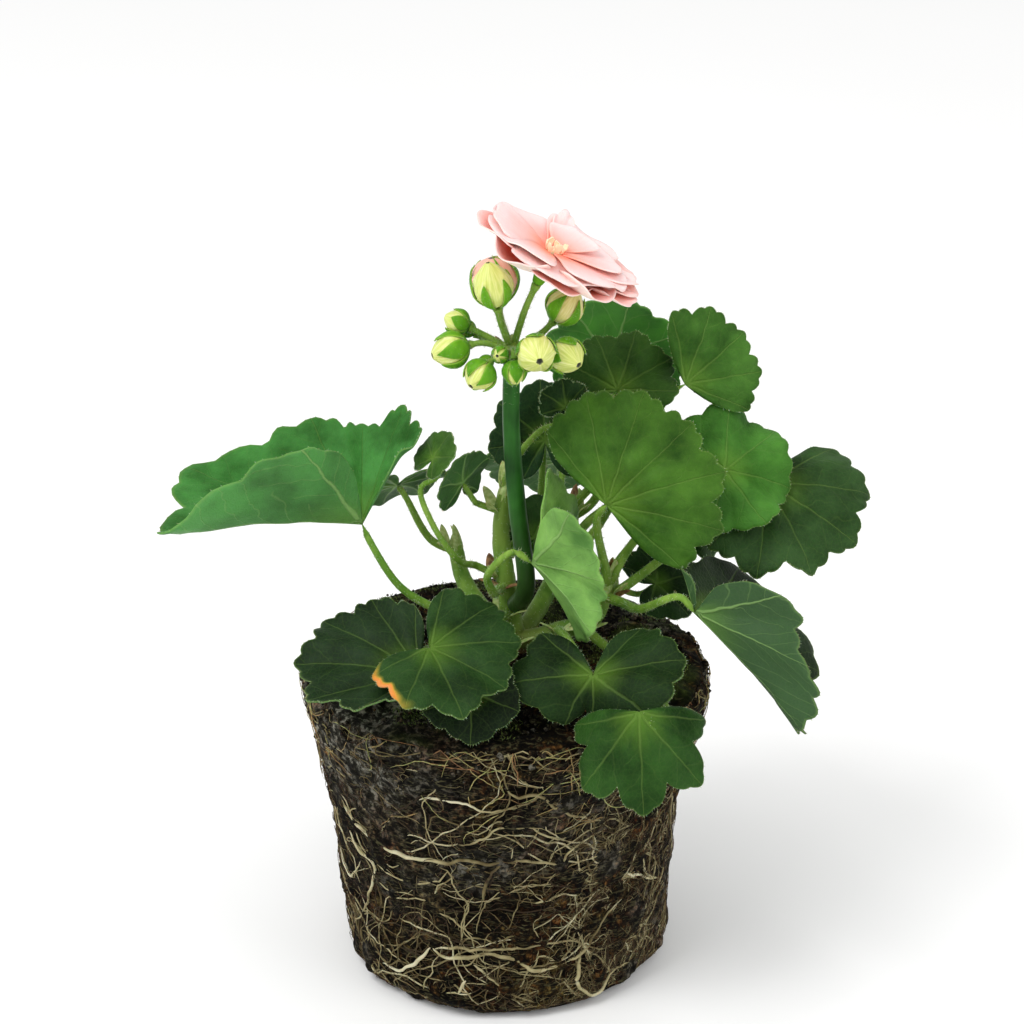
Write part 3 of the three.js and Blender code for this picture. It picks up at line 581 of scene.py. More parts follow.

# %% [markdown]
# ## The leaves
# A blade is a fan of arcs from its stalk. Each ray has a slope where it leaves and a curl on the way, blended
# from those of the tip, the two sides and the base, which is enough to cup it, fold it or roll its edges. The
# outline is round with an open notch, shallow lobes and blunt teeth on them. Each row below is one leaf:
# where it is, how it faces, its size, its stalk's foot, and its green, which has light and shade painted into
# it. The lower leaves are darker where they lie in shade, and leaf_15 is lighter where light shines through
# it.

# %% The rows
plain = {
    "lobes": 7, "slope": (12, 12, 12, 12), "curl": (-24, -24, -24, -24), "wave": (0.03, 6, 0), "notch": 12,
    "cut": 0.1, "fold": 0, "via": (), "approach": (0, -3.5, -4.5), "tone": "#38651f", "ruffle": 0.02,
    "autumn": None,
}
# Painted shade and light in the greens: the lower leaves, leaf_09 among them, are darker where they lie in
# shade, and leaf_15 is lighter where light shines through it.
leaves = [
    {"at": (27.1, -14, 139.6), "face": (-92, 34), "turn": 45, "reach": 33, "foot": ("b", 1, -110, 70),
     "notch": 82, "curl": (-24, -24, -40, -24), "tone": "#446f1f"},
    {"at": (48.5, 8, 165.5), "face": (-70, 25), "turn": 58, "reach": 23, "foot": ("d", 0.75, -20, 30),
     "notch": 105, "lobes": 5, "tone": "#426f24"},
    {"at": (30.5, 10, 163.1), "face": (-95, 40), "turn": 15, "reach": 17.5, "foot": ("d", 1, -20, 55),
     "notch": 45, "wave": (0.16, 5, 40), "via": ((30, 22, 138),), "tone": "#2f5217"},
    {"at": (29.4, 31, 163.5), "face": (85, 10), "turn": -15, "reach": 21, "foot": ("d", 0.95, 20, 30),
     "via": ((32, 33, 140),), "tone": "#3e8612"},
    {"at": (16.4, 4, 160.3), "face": (-90, 25), "turn": -8, "reach": 8, "foot": ("a", 1, 0, 80), "notch": 60,
     "lobes": 5, "via": ((10, 9, 152),), "tone": "#183710"},
    {"at": (11.1, 25, 142.8), "face": (-80, 30), "turn": 0, "reach": 17, "foot": ("d", 0.6, 170, 60),
     "tone": "#1f3e1f"},
    {"at": (59.1, 0, 143.8), "face": (-75, 40), "turn": 60, "reach": 19.5, "foot": ("b", 0.95, 10, 60),
     "wave": (0.18, 5, 0), "tone": "#48802c"},
    {"at": (71.3, 6, 137), "face": (-75, 58), "turn": 165, "reach": (28, 33, 27, 29),
     "foot": ("b", 0.85, 15, 30), "notch": 62, "slope": (0, 14, 0, 0), "curl": (-30, -40, -20, -20),
     "tone": "#2f4e23"},
    {"at": (50, -30, 115.5), "face": (-5, -12), "turn": 180, "reach": (44, 46, 37, 15),
     "foot": ("b", 0.9, -50, 5), "notch": 12, "fold": 35, "slope": (58, 60, 60, -20),
     "curl": (-10, -10, -10, -10), "via": ((36.1, -20, 112.1),), "tone": "#15290e"},
    {"at": (23.1, -44, 103.8), "face": (-90, 70), "turn": 180, "reach": (12, 26, 24, 23),
     "foot": ("b", 0.35, -80, 25), "notch": 22, "fold": 15, "slope": (-20, 22, 4, 24),
     "curl": (-80, -15, -15, -15), "tone": "#18320e"},
    {"at": (34.2, -63, 103), "face": (-90, 18), "turn": 177, "reach": 27, "foot": ("b", 0.6, -75, 0),
     "notch": 88, "cut": 0.24, "lobes": 5, "slope": (5, -15, -20, 0), "curl": (-10, -50, -50, -20),
     "via": ((38, -32, 96), (43.5, -50, 93.5)), "approach": (-4, 4.5, -2), "tone": "#2a5019"},
    {"at": (-19.3, -41, 110.4), "face": (-85, 62), "turn": 126, "reach": 24, "foot": ("a", 0.22, -112, 12),
     "notch": 50, "slope": (12, 12, 20, 12), "tone": "#27461c", "autumn": (0.74, 0.13)},
    {"at": (-22.6, -44, 105), "face": (-95, 62), "turn": -88, "reach": (33, 20, 24, 20),
     "foot": ("a", 0.14, -150, 5), "notch": 85, "slope": (10, 4, 20, 20), "curl": (-20, 45, -20, -20),
     "tone": "#1f341b"},
    {"at": (-8.7, -46, 100.3), "face": (-90, 35), "turn": 180, "reach": 13.8, "foot": ("stock", 0.9, -95, 5),
     "lobes": 5, "tone": "#0c1e08"},
    {"at": (7.2, -22, 126.3), "face": (5, 2), "turn": 180, "reach": (26, 30, 27, 34),
     "foot": ("a", 0.4, -110, 10), "slope": (38, 42, 54, 20),
     "via": ((-3.1, -14, 114.3), (-4.4, -19, 121.5)), "tone": "#84b352"},
    {"at": (-38, -10, 132.4), "face": (90, 72), "turn": 140, "reach": (58, 33, 32, 38),
     "foot": ("a", 0.2, 170, 10), "notch": 50, "fold": -67, "slope": (5, 70, 58, 62),
     "curl": (-10, 10, 0, -10), "via": ((-17.3, -14, 109.1), (-27.8, -16, 116.7)), "tone": "#43863a"},
    {"at": (-11.3, 6, 137.7), "face": (140, 15), "turn": 10, "reach": 10.5, "foot": ("a", 0.85, 180, 20),
     "lobes": 5, "tone": "#2f561f"},
    {"at": (-18.9, -2, 148.2), "face": (-150, 40), "turn": 0, "reach": 8.5, "foot": ("a", 0.42, 180, 30),
     "lobes": 5, "via": ((-12.5, -2.5, 118.5), (-19.6, -3, 129.8), (-22.4, -3, 140.2)), "tone": "#466d27"},
    {"at": (8.4, 15, 118), "face": (-90, 40), "turn": 20, "reach": 13, "foot": ("a", 0.5, 60, 40), "lobes": 5,
     "tone": "#2f4e23"},
    {"at": (42, 10, 106), "face": (-60, 50), "turn": 90, "reach": 13, "foot": ("b", 0.7, 60, 40), "lobes": 5,
     "tone": "#1f3a17"},
    {"at": (53.1, 16, 126.7), "face": (-70, 20), "turn": 170, "reach": 15, "foot": ("b", 0.8, 60, 50),
     "wave": (0.16, 5, 0), "tone": "#2f4e1f"},
    {"at": (19, -2, 109.5), "face": (-90, 60), "turn": -30, "reach": 6, "foot": ("b", 0.55, 150, 60),
     "lobes": 5, "tone": "#375623"},
    {"at": (54, 46, 127), "face": (20, 50), "turn": 180, "reach": 24, "foot": ("d", 0.7, 20, 50)},
    {"at": (16, 56, 124), "face": (95, 45), "turn": 180, "reach": 24, "foot": ("d", 0.8, 115, 15)},
    {"at": (-30, 28, 128), "face": (115, 50), "turn": 180, "reach": 16, "foot": ("c", 0.9, 175, 25)},
]
print("leaves", len(leaves))

# %% [markdown]
# ## The blade's form
# The form is one function of two parameters: u runs round the blade from notch to notch, and rho from the
# stalk to the margin. Ridges rise between the veins, waves grow towards the margin, and chance adds what no
# formula has. Close to the notch the teeth fade out, as they do on the plant.

# %% One blade
teeth, tooth_depth, pleat = 3, 0.042, 0.06
around_steps, out_steps = 151, 18
blade_mm = 0.42


def margin_at(u, lobes, cut):
    """The margin's share of the reach: a round that falls in at the notch, times lobes, times teeth."""
    outline = (1 - 0.2 * np.abs(u) ** 3) * (0.2 + 0.8 * np.sqrt(np.maximum(0, 1 - np.abs(u) ** 10)))
    plain_side = 1 - smooth(0.86, 0.96, np.abs(u))
    lobe = 1 - cut * (1 - np.abs(np.cos(lobes / 2 * np.pi * u)))
    tooth = 1 - tooth_depth * plain_side * (1 - np.abs(np.cos(teeth * lobes / 2 * np.pi * u)))
    return outline * lobe * tooth


print("the margin's share at the tip and at the sides", np.round(margin_at(np.array([0, 0.5]), 7, 0.1), 3))


# %% A point of the blade
def blade_form(leaf, u, rho):
    """The blade's point at u and rho in its own right, forward and up, and its reach from the stalk there.

    A ray of length L, slope s and curl c lies on an arc: it is L / c (sin(s + c rho) - sin s) out, and
    L / c (cos s - cos(s + c rho)) up.
    """
    theta = u * (np.pi - np.radians(leaf["notch"]))
    axis = theta - np.radians(leaf["fold"])
    squared = np.sin(axis) ** 2
    weights = [
        np.maximum(0, np.cos(axis)) ** 2,
        np.where(np.sin(axis) < 0, squared, 0),
        np.where(np.sin(axis) < 0, 0, squared),
        np.maximum(0, -np.cos(axis)) ** 2,
    ]
    four_ways = [np.broadcast_to(leaf[key], 4) for key in ("slope", "curl", "reach")]
    slope, curl, reach = (sum(w * v for w, v in zip(weights, values)) for values in four_ways)
    slope, curl = np.radians(slope), np.radians(np.where(np.abs(curl) < 1e-4, 1e-4, curl))
    margin = reach * margin_at(u, leaf["lobes"], leaf["cut"])
    margin = margin * (1 + 0.03 * noise(np.stack([7 * u, 0 * u + leaf["at"][0], 0 * u], -1), 1.0, 2))
    height, waves, phase = leaf["wave"]
    out = margin / curl * (np.sin(slope + curl * rho) - np.sin(slope))
    rise = (
        margin / curl * (np.cos(slope) - np.cos(slope + curl * rho))
        + pleat * margin * rho * 0.5 * (1 - np.cos(leaf["lobes"] * np.pi * u))
        + height * margin * rho**2 * np.sin(waves * theta + np.radians(phase))
    )
    return np.stack([out * np.sin(theta), out * np.cos(theta), rise], -1), margin * rho


flat_tip, _ = blade_form({**plain, "at": (0, 0, 0), "reach": 20}, np.array(0.0), np.array(1.0))
print("a plain blade with a reach of 20 has its tip at", np.round(flat_tip, 1))


# %% The blade's sheet, its stalk and their hairs
def leaf_skins(leaf, index):
    """The blade's two-sided sheet, its stalk's tube, and the hairs of both."""
    # Rays lie closer together near the notch, and arcs a little closer near the margin.
    s = np.linspace(-1, 1, around_steps)
    u = 0.45 * s + 0.55 * s * (1.5 - 0.5 * s**2)
    rho = np.linspace(0, 1, out_steps + 1)[1:] ** 0.9
    rho_grid, u_grid = np.meshgrid(rho, u, indexing="ij")
    flat, distance = blade_form(leaf, u_grid, rho_grid)
    places = flat + 40.0 * index
    reach = np.max(leaf["reach"])
    # The blade swells every 11 mm, and towards its margin it ruffles every 4.5 mm.
    uneven = noise(places, 11.0, 2) * 0.022 * reach * rho_grid
    ruffle = noise(places, 4.5) * leaf["ruffle"] * reach * rho_grid**3
    flat[..., 2] += uneven + ruffle
    # Each main vein, at a whole number of q, lies in a groove 0.4 mm deep and about 1.1 mm to each side.
    q = leaf["lobes"] / 2 * u_grid
    apart = np.abs(q - np.round(q)) * distance * (np.pi - np.radians(leaf["notch"])) * 2 / leaf["lobes"]
    flat[..., 2] -= 0.4 * np.exp(-((apart / 1.1) ** 2)) * smooth(0.15, 0.4, rho_grid) * (1 - 0.7 * rho_grid)
    axes = frame_of(leaf["face"], leaf["turn"])
    centre = np.array(leaf["at"], float)
    points = np.vstack([centre, flat.reshape(-1, 3) @ axes + centre])
    n = around_steps
    k = np.arange(n - 1)
    tris = np.stack([0 * k, 2 + k, 1 + k], -1)
    quads = grid_faces(out_steps, n, False) + 1
    rows = np.arange(out_steps)
    outermost = (out_steps - 1) * n + 1 + np.arange(1, n - 1)
    loop = np.concatenate([[0], rows * n + 1, outermost, rows[::-1] * n + n])
    spread = (np.pi - np.radians(leaf["notch"])) * 2 / leaf["lobes"]
    vein = np.stack([q, distance, 0 * q + spread], -1).reshape(-1, 3)
    # One old leaf has turned at its margin, most at one place round it.
    autumn = np.zeros(len(points))
    if leaf["autumn"]:
        middle, breadth = leaf["autumn"]
        along_margin = np.exp(-(((u_grid - middle) / breadth) ** 2))
        inwards = smooth(0.84, 1.01, rho_grid + 0.06 * noise(places, 3.0, 2))
        autumn[1:] = (along_margin * inwards).ravel()
    blade = two_sided(
        points, quads, tris, loop[::-1], blade_mm,
        vein=np.vstack([[0, 0, spread], vein]),
        share=np.concatenate([[0], rho_grid.ravel()]),
        # The leaf's green with its painted shade and light.
        tone=np.tile(linear(leaf["tone"])[:3], (len(points), 1)),
        autumn=autumn,
    )
    start, along, rooted = foot_of(leaf["foot"])
    joint = centre - axes[2] * 0.05
    approach = np.array(leaf["approach"]) @ axes + centre
    stations, sides = 40, 12
    path, tangents = route([rooted, start + 4 * along, *leaf["via"], approach, joint], stations)
    way = np.linspace(0, 1, stations)
    radius = stalk_foot + (stalk_tip - stalk_foot) * way + 0.12 * smooth(0.9, 0.96, way)
    radius = radius * (1 - 0.85 * smooth(0.93, 1, way))
    # A real stalk is slimmer than the solid's, 0.62 of it under a small blade and 0.82 under a broad one.
    radius = radius * (0.62 + 0.2 * smooth(8, 24, reach))
    radius = radius * (1 + 0.04 * noise(path, 5.0))
    stalk = tubes(path, radius[None], sides, age=0.3 * (1 - smooth(0, 0.15, way))[None])
    length = np.linalg.norm(np.diff(path, axis=0), axis=1).sum()
    down = tube_hairs(stalk, path, tangents, stations, sides, int(7 * length), (0.5, 1.1), 0.12, index)
    edge = blade["points"][1 + (out_steps - 1) * n : 1 + out_steps * n]
    inner = blade["points"][1 + (out_steps - 2) * n : 1 + (out_steps - 1) * n]
    fringe = hairs_on(edge, unit(edge - inner), 260, (0.4, 0.8), 0.1, 0.4, 50 + index)
    hairs = [(down, hair_material), (fringe, hair_material)]
    return [(blade, blade_material), (stalk, petiole_material), *hairs]


# %% Twenty-five leaves
for index, row in enumerate(leaves):
    name = f"leaf_{index + 1:02d}"
    total_triangles += make_piece(f"{name}_blade", leaf_skins({**plain, **row}, index), name)
print("triangles so far", total_triangles)

# %% [markdown]
# ## The shoots and their stipules
# Where each leaf leaves a shoot stand two stipules, small pointed scales that once wrapped the bud. They
# are pale and papery, and brown when they die. The shoots themselves are fat for their length and ringed by
# old leaf scars. A tube with a radius that swells a little at chance places gives that without any
# sculpting.


# %% Papery scales
def scale_tissue():
    """Papery stipule or bract: pale straw green mottled every millimetre, brown where it has died."""
    material, tree = new_material("papery_stipule")
    dead = add(tree, "Attribute", attribute_name="age").outputs["Fac"]
    place = add(tree, "TexCoord").outputs["Object"]
    mottle = add(tree, "TexNoise", {"Vector": place, "Scale": 900.0, "Detail": 3.0})
    live = add(tree, "ValToRGB", [mottle.outputs["Fac"]], stops=[(0.35, "#8fa855"), (0.7, "#c3cf8c")])
    brown = add(tree, "ValToRGB", [mottle.outputs["Fac"]], stops=[(0.35, "#5d3c22"), (0.7, "#a3794a")])
    colour = add(tree, "Mix", [dead, live, brown], data_type="RGBA")
    bump = add(tree, "Bump", {"Strength": 0.4, "Distance": 0.0004, "Height": mottle.outputs["Fac"]})
    finish_with(tree, add(tree, "BsdfPrincipled", {
        "Base Color": colour, "Roughness": 0.7, "Normal": bump, "Subsurface Weight": 0.2,
        "Subsurface Scale": 0.0006,
    }))
    return material


scale_material = scale_tissue()
scale_mm = 0.22


def scale(foot, axes, length, breadth, bend, dead):
    """A pointed scale that bends on an arc away from forward towards up.

    Its half breadth is 0.575 b (1 - t)^0.7 (0.5 + t)^0.5 + 0.03 mm at the share t of its length, and its
    sides are drawn up by 0.35 of that.
    """
    rows, columns = 10, 7
    t, side = np.meshgrid(np.linspace(0, 1, rows), np.linspace(-1, 1, columns), indexing="ij")
    half = 0.5 * breadth * (1 - t) ** 0.7 * (0.5 + t) ** 0.5 * 1.15 + 0.03
    turn = np.radians(bend)
    out = length * np.sin(turn * t) / turn
    rise = length * (1 - np.cos(turn * t)) / turn + 0.35 * half * side**2
    flat = np.stack([half * side, out, rise], -1).reshape(-1, 3)
    points = flat @ axes + foot
    points += 0.12 * noise(points, 1.5)[:, None] * axes[2]
    quads, loop = grid_faces(rows, columns, False), rim_of(rows, columns)
    return two_sided(points, quads, no_tris, loop, scale_mm, age=np.full(rows * columns, float(dead)))


print("made", scale_material.name)


# %% Shoots
def tip_scales(path, tangents, radius, chance):
    """Five young stipules that stand round a shoot's growing tip and close over it."""
    skins = []
    for turn in 72 * np.arange(5) + chance.uniform(0, 60):
        side = unit(np.cross(tangents[-6], direction(turn, 20)))
        inward = unit(np.cross(side, tangents[-6]))
        foot = path[-6] - radius * inward
        axes = np.array([side, tangents[-6], inward])
        length, bend = chance.uniform(5, 8), chance.uniform(20, 40)
        skins.append((scale(foot, axes, length, 3.6, bend, 0.0), scale_material))
    return skins


def stem_skins():
    """Each shoot as a tube with a domed tip, and two stipules at each stalk's foot, often dead low down."""
    chance = np.random.default_rng(5)
    stations, sides = 60, 20
    farthest_out, seated, beside = 4.5, 1.2, 1.1
    skins = []
    for number, (stops, (thick, thin)) in enumerate(shoots.values()):
        path, tangents = route(stops, stations)
        way = np.linspace(0, 1, stations)
        # The radius swells by 5% at chance places, and draws in to a dome over the last tenth of the way.
        radius = (thick + (thin - thick) * way) * (1 + 0.05 * noise(path * [1, 1, 3], 6.0, 2))
        radius = radius * (1 - 0.3 * smooth(0.88, 1, way)) * np.sqrt(1 - 0.85 * smooth(0.94, 1, way) ** 2)
        age = 0.85 * (1 - smooth(88, 100, path[:, 2])) + 0.25 * smooth(0.1, 0.7, noise(path, 9.0))
        tube = tubes(path, radius[None], sides, age=age[None])
        down = tube_hairs(tube, path, tangents, stations, sides, 260, (0.5, 1.0), 0.12, 90 + number)
        skins += [(tube, shoot_material), (down, hair_material)]
        if stops is not shoots["stock"][0]:
            skins += tip_scales(path, tangents, 0.8 * thin, chance)
    for row in leaves:
        shoot, _, azimuth, elevation = row["foot"]
        start, along, rooted = foot_of(row["foot"])
        reach = min(np.linalg.norm(start - rooted), farthest_out)
        low = shoot == "stock" or start[2] < 104
        for turn in (-65, 65):
            axes = frame_of((azimuth + turn, elevation - 60), 0)
            foot = rooted + (reach - seated) * along + beside * direction(azimuth + turn, elevation)
            dead = chance.random() < (0.5 if low else 0.15)
            length, breadth, bend = chance.uniform(5, 8), chance.uniform(3, 4.5), chance.uniform(15, 45)
            skins.append((scale(foot, axes, length, breadth, bend, dead), scale_material))
    return skins


total_triangles += make_piece("shoots_and_stipules", stem_skins(), "stem")

# %% [markdown]
# ## The flower stalk
# The stalk of the umbel is round, smooth and darker than the leaf stalks. It ends in a swollen node where
# little bracts stand, and every flower's own thin stalk bends from there to the flower's axis. Only the top
# of the stalk and the thin stalks are hairy.

# %% Flower stalk
umbel = np.array([2, -4, 179.5])
scape_foot, scape_tip = 2.5, 2.25
scape_start = foot_of(("a", 0.25, -60, 35), scape_foot)[0]
scape_stops = [scape_start, [5.8, -5.4, 112], [3.4, -4.2, 135], [1.8, -3.8, 158], umbel]
bloom_base, bloom_face = np.array([8.5, -6, 198.6]), (0, 64)
# Each bud: its base, the way it points, its length and radius, then its looks: how far up the sepals
# reach, how broad they are, how pink the petals are and how wide the opening at its tip.
buds = [
    ((-1.9, -9.5, 193.3), (-150, 78), 13, 5.2, 0.68, 0.46, 0.0, 0.04),
    ((-1.6, 3.5, 189.5), (170, 82), 13, 6.3, 0.97, 0.36, 1.0, 0.01),
    ((13.2, 0, 186.5), (-20, 55), 11, 5, 0.85, 0.6, 0.25, 0.07),
    ((-9.5, -3, 185.5), (175, 25), 7, 3.3, 0.75, 0.95, 0.0, 0.06),
    ((-9.5, -6, 181.6), (-160, -10), 10.5, 4.6, 0.86, 0.9, 0.0, 0.08),
    ((-4.2, -10, 177.6), (-130, -30), 8.5, 4.2, 0.85, 0.9, 0.0, 0.08),
    ((7.5, -11, 183), (-80, -5), 10, 5, 0.6, 0.9, 0.0, 0.085),
    ((13.5, -4.5, 180.5), (-50, -15), 10, 4.7, 0.72, 0.9, 0.0, 0.08),
    ((2.5, -12.5, 179.6), (-80, -70), 6.5, 3, 0.95, 1.0, 0.0, 0.1),
    ((-8, 1, 182.5), (170, 30), 5, 2, 0.97, 1.0, 0.0, 0.1),
    ((-0.5, -10, 180.6), (-110, 10), 4.2, 2, 0.97, 1.0, 0.0, 0.1),
    ((-3.4, -4.5, 177.5), (-160, -35), 4.6, 1.7, 0.97, 1.0, 0.0, 0.1),
]


def pedicel_stops(base, face):
    """Out from the umbel, through a bend that turns it into the flower's axis, to just under its base."""
    base, axis = np.array(base, float), direction(*face)
    end = base - contact_gap * axis
    reach = np.linalg.norm(end - umbel)
    bend = end - 0.35 * reach * axis
    out = umbel + unit(end - umbel) * 0.65 * reach
    return [umbel, bend + 0.4 * (out - bend), end]


def flower_stalk_skins():
    """The scape with down on its top fifth, the knot of its node, thirteen pedicels, and eight bracts."""
    stations, sides, hairy_from = 110, 28, 88
    path, tangents = route(scape_stops, stations)
    way = np.linspace(0, 1, stations)
    radius = scape_foot + (scape_tip - scape_foot) * way
    radius = radius + 0.45 * smooth(0.965, 1, way) + 0.3 * (1 - smooth(0, 0.03, way))
    radius = radius * (1 + 0.015 * noise(path, 8.0))
    scape = tubes(path, radius[None], sides, age=(1 - smooth(0, 0.55, way))[None] * 0.6)
    top = path[hairy_from:], tangents[hairy_from:]
    cut = {"points": scape["points"][hairy_from * sides : stations * sides]}
    down = tube_hairs(cut, *top, stations - hairy_from, sides, 110, (0.5, 1.1), 0.09, 71)
    # The knot is a ball of 3.1 mm in radius, a little lumpy.
    knot_way = np.linspace(0, 1, 24)
    knot_path = umbel + np.outer(6.2 * (knot_way - 0.5), [0, 0, 1])
    knot_radius = 3.1 * np.sqrt(np.maximum(1 - (2 * knot_way - 1) ** 2, 0.002))
    knot_radius = knot_radius * (1 + 0.08 * noise(knot_path, 2.0))
    knot = tubes(knot_path, knot_radius[None], 24, age=0.2 * np.ones((1, 24)))
    skins = [(scape, scape_material), (down, hair_material), (knot, petiole_material)]
    for index, (base, face) in enumerate([(bloom_base, bloom_face), *[bud[:2] for bud in buds]]):
        stations, sides = 30, 12
        path, tangents = route(pedicel_stops(base, face), stations)
        way = np.linspace(0, 1, stations)
        radius = 0.98 + (0.8 - 0.98) * way + 0.5 * smooth(0.86, 1, way)
        # A short pedicel is a young one, and thinner.
        small = min(1, 0.55 + np.linalg.norm(path[-1] - umbel) / 28)
        stalk = tubes(path, small * radius[None], sides, age=np.zeros((1, stations)))
        length = np.linalg.norm(np.diff(path, axis=0), axis=1).sum()
        down = tube_hairs(stalk, path, tangents, stations, sides, int(16 * length), (0.5, 1.0), 0.11, index)
        skins += [(stalk, petiole_material), (down, hair_material)]
    for azimuth in range(0, 360, 45):
        axes = frame_of((azimuth, -35), 0)
        foot = umbel + 2.4 * direction(azimuth, -20)
        skins.append((scale(foot, axes, 5.2, 2.6, 35, azimuth % 135 == 0), scale_material))
    return skins


total_triangles += make_piece("scape_and_pedicels", flower_stalk_skins(), "flower_stalk")

# %% [markdown]
# ## The buds
# A bud is an egg of furled petals. Each petal overlaps the next in a spiral, which shows as five soft steps
# round it that run together into a small hole at the tip, painted dark inside as shade. Five pointed sepals
# hold it from the base.
# The egg is a profile turned round an axis, with a radius that depends on the angle too, and the hole is
# that profile carried on down inside.


# %% Bud petals and sepals
def furled_petal():
    """Furled petal: waxy cream-green satin in bud, turning coral pink in streaks as it opens.

    Its pattern reads millimetres on the petal, which makes the streaks 0.6 mm across and 5 mm long.
    """
    material, tree = new_material("furled_bud_petal")
    along = add(tree, "Attribute", attribute_name="share").outputs["Fac"]
    pink = add(tree, "Attribute", attribute_name="pink").outputs["Fac"]
    round_ = add(tree, "Attribute", attribute_name="petal").outputs["Vector"]
    streak = add(tree, "Mapping", {"Vector": round_, "Scale": (1.1, 0.12, 1.0)})
    streak = add(tree, "TexNoise", {"Vector": streak, "Scale": 1.6, "Detail": 4.0, "Roughness": 0.6})
    shut_stops = [(0.3, "#bccb50"), (0.55, "#dbe286"), (0.8, "#f0efbe")]
    open_stops = [(0.3, "#ee9a86"), (0.55, "#f6bda9"), (0.8, "#f7dcc0")]
    cream = add(tree, "ValToRGB", [streak.outputs["Fac"]], stops=shut_stops)
    coral = add(tree, "ValToRGB", [streak.outputs["Fac"]], stops=open_stops)
    colour = add(tree, "Mix", [pink, cream, coral], data_type="RGBA")
    green = add(tree, "MapRange", [along, 0.0, 0.45, 0.5, 0.0])
    colour = add(tree, "Mix", [green, colour, linear("#b9cc62")], data_type="RGBA")
    # Painted shade: inside the lip at the bud's tip, the hole is painted near black.
    depth = add(tree, "Attribute", attribute_name="inside").outputs["Fac"]
    colour = add(tree, "Mix", [depth, colour, linear("#16180a")], data_type="RGBA")
    bump = add(tree, "Bump", {"Strength": 0.3, "Distance": 0.0004, "Height": streak.outputs["Fac"]})
    finish_with(tree, add(tree, "BsdfPrincipled", {
        "Base Color": colour, "Roughness": 0.42, "Normal": bump, "Subsurface Weight": 0.35,
        "Subsurface Radius": (1.0, 0.9, 0.4), "Subsurface Scale": 0.0015, "Sheen Weight": 0.1,
    }))
    return material


bud_material = furled_petal()
sepal_material = stalk_skin("downy_sepal", "#3f7d0e", "#69a51c", "#a9c850")
sepal_mm = 0.3
print("made", bud_material.name, sepal_material.name)


# %% One bud
def egg_radius(way, radius, blunt):
    """The radius at the share way of the height: radius (sin(pi way^p))^q. Blunt, p is more and q less."""
    p, q = 0.85 + 0.35 * blunt, 0.75 - 0.27 * blunt
    return radius * np.sin(np.pi * np.clip(way, 0, 1) ** p).clip(0) ** q


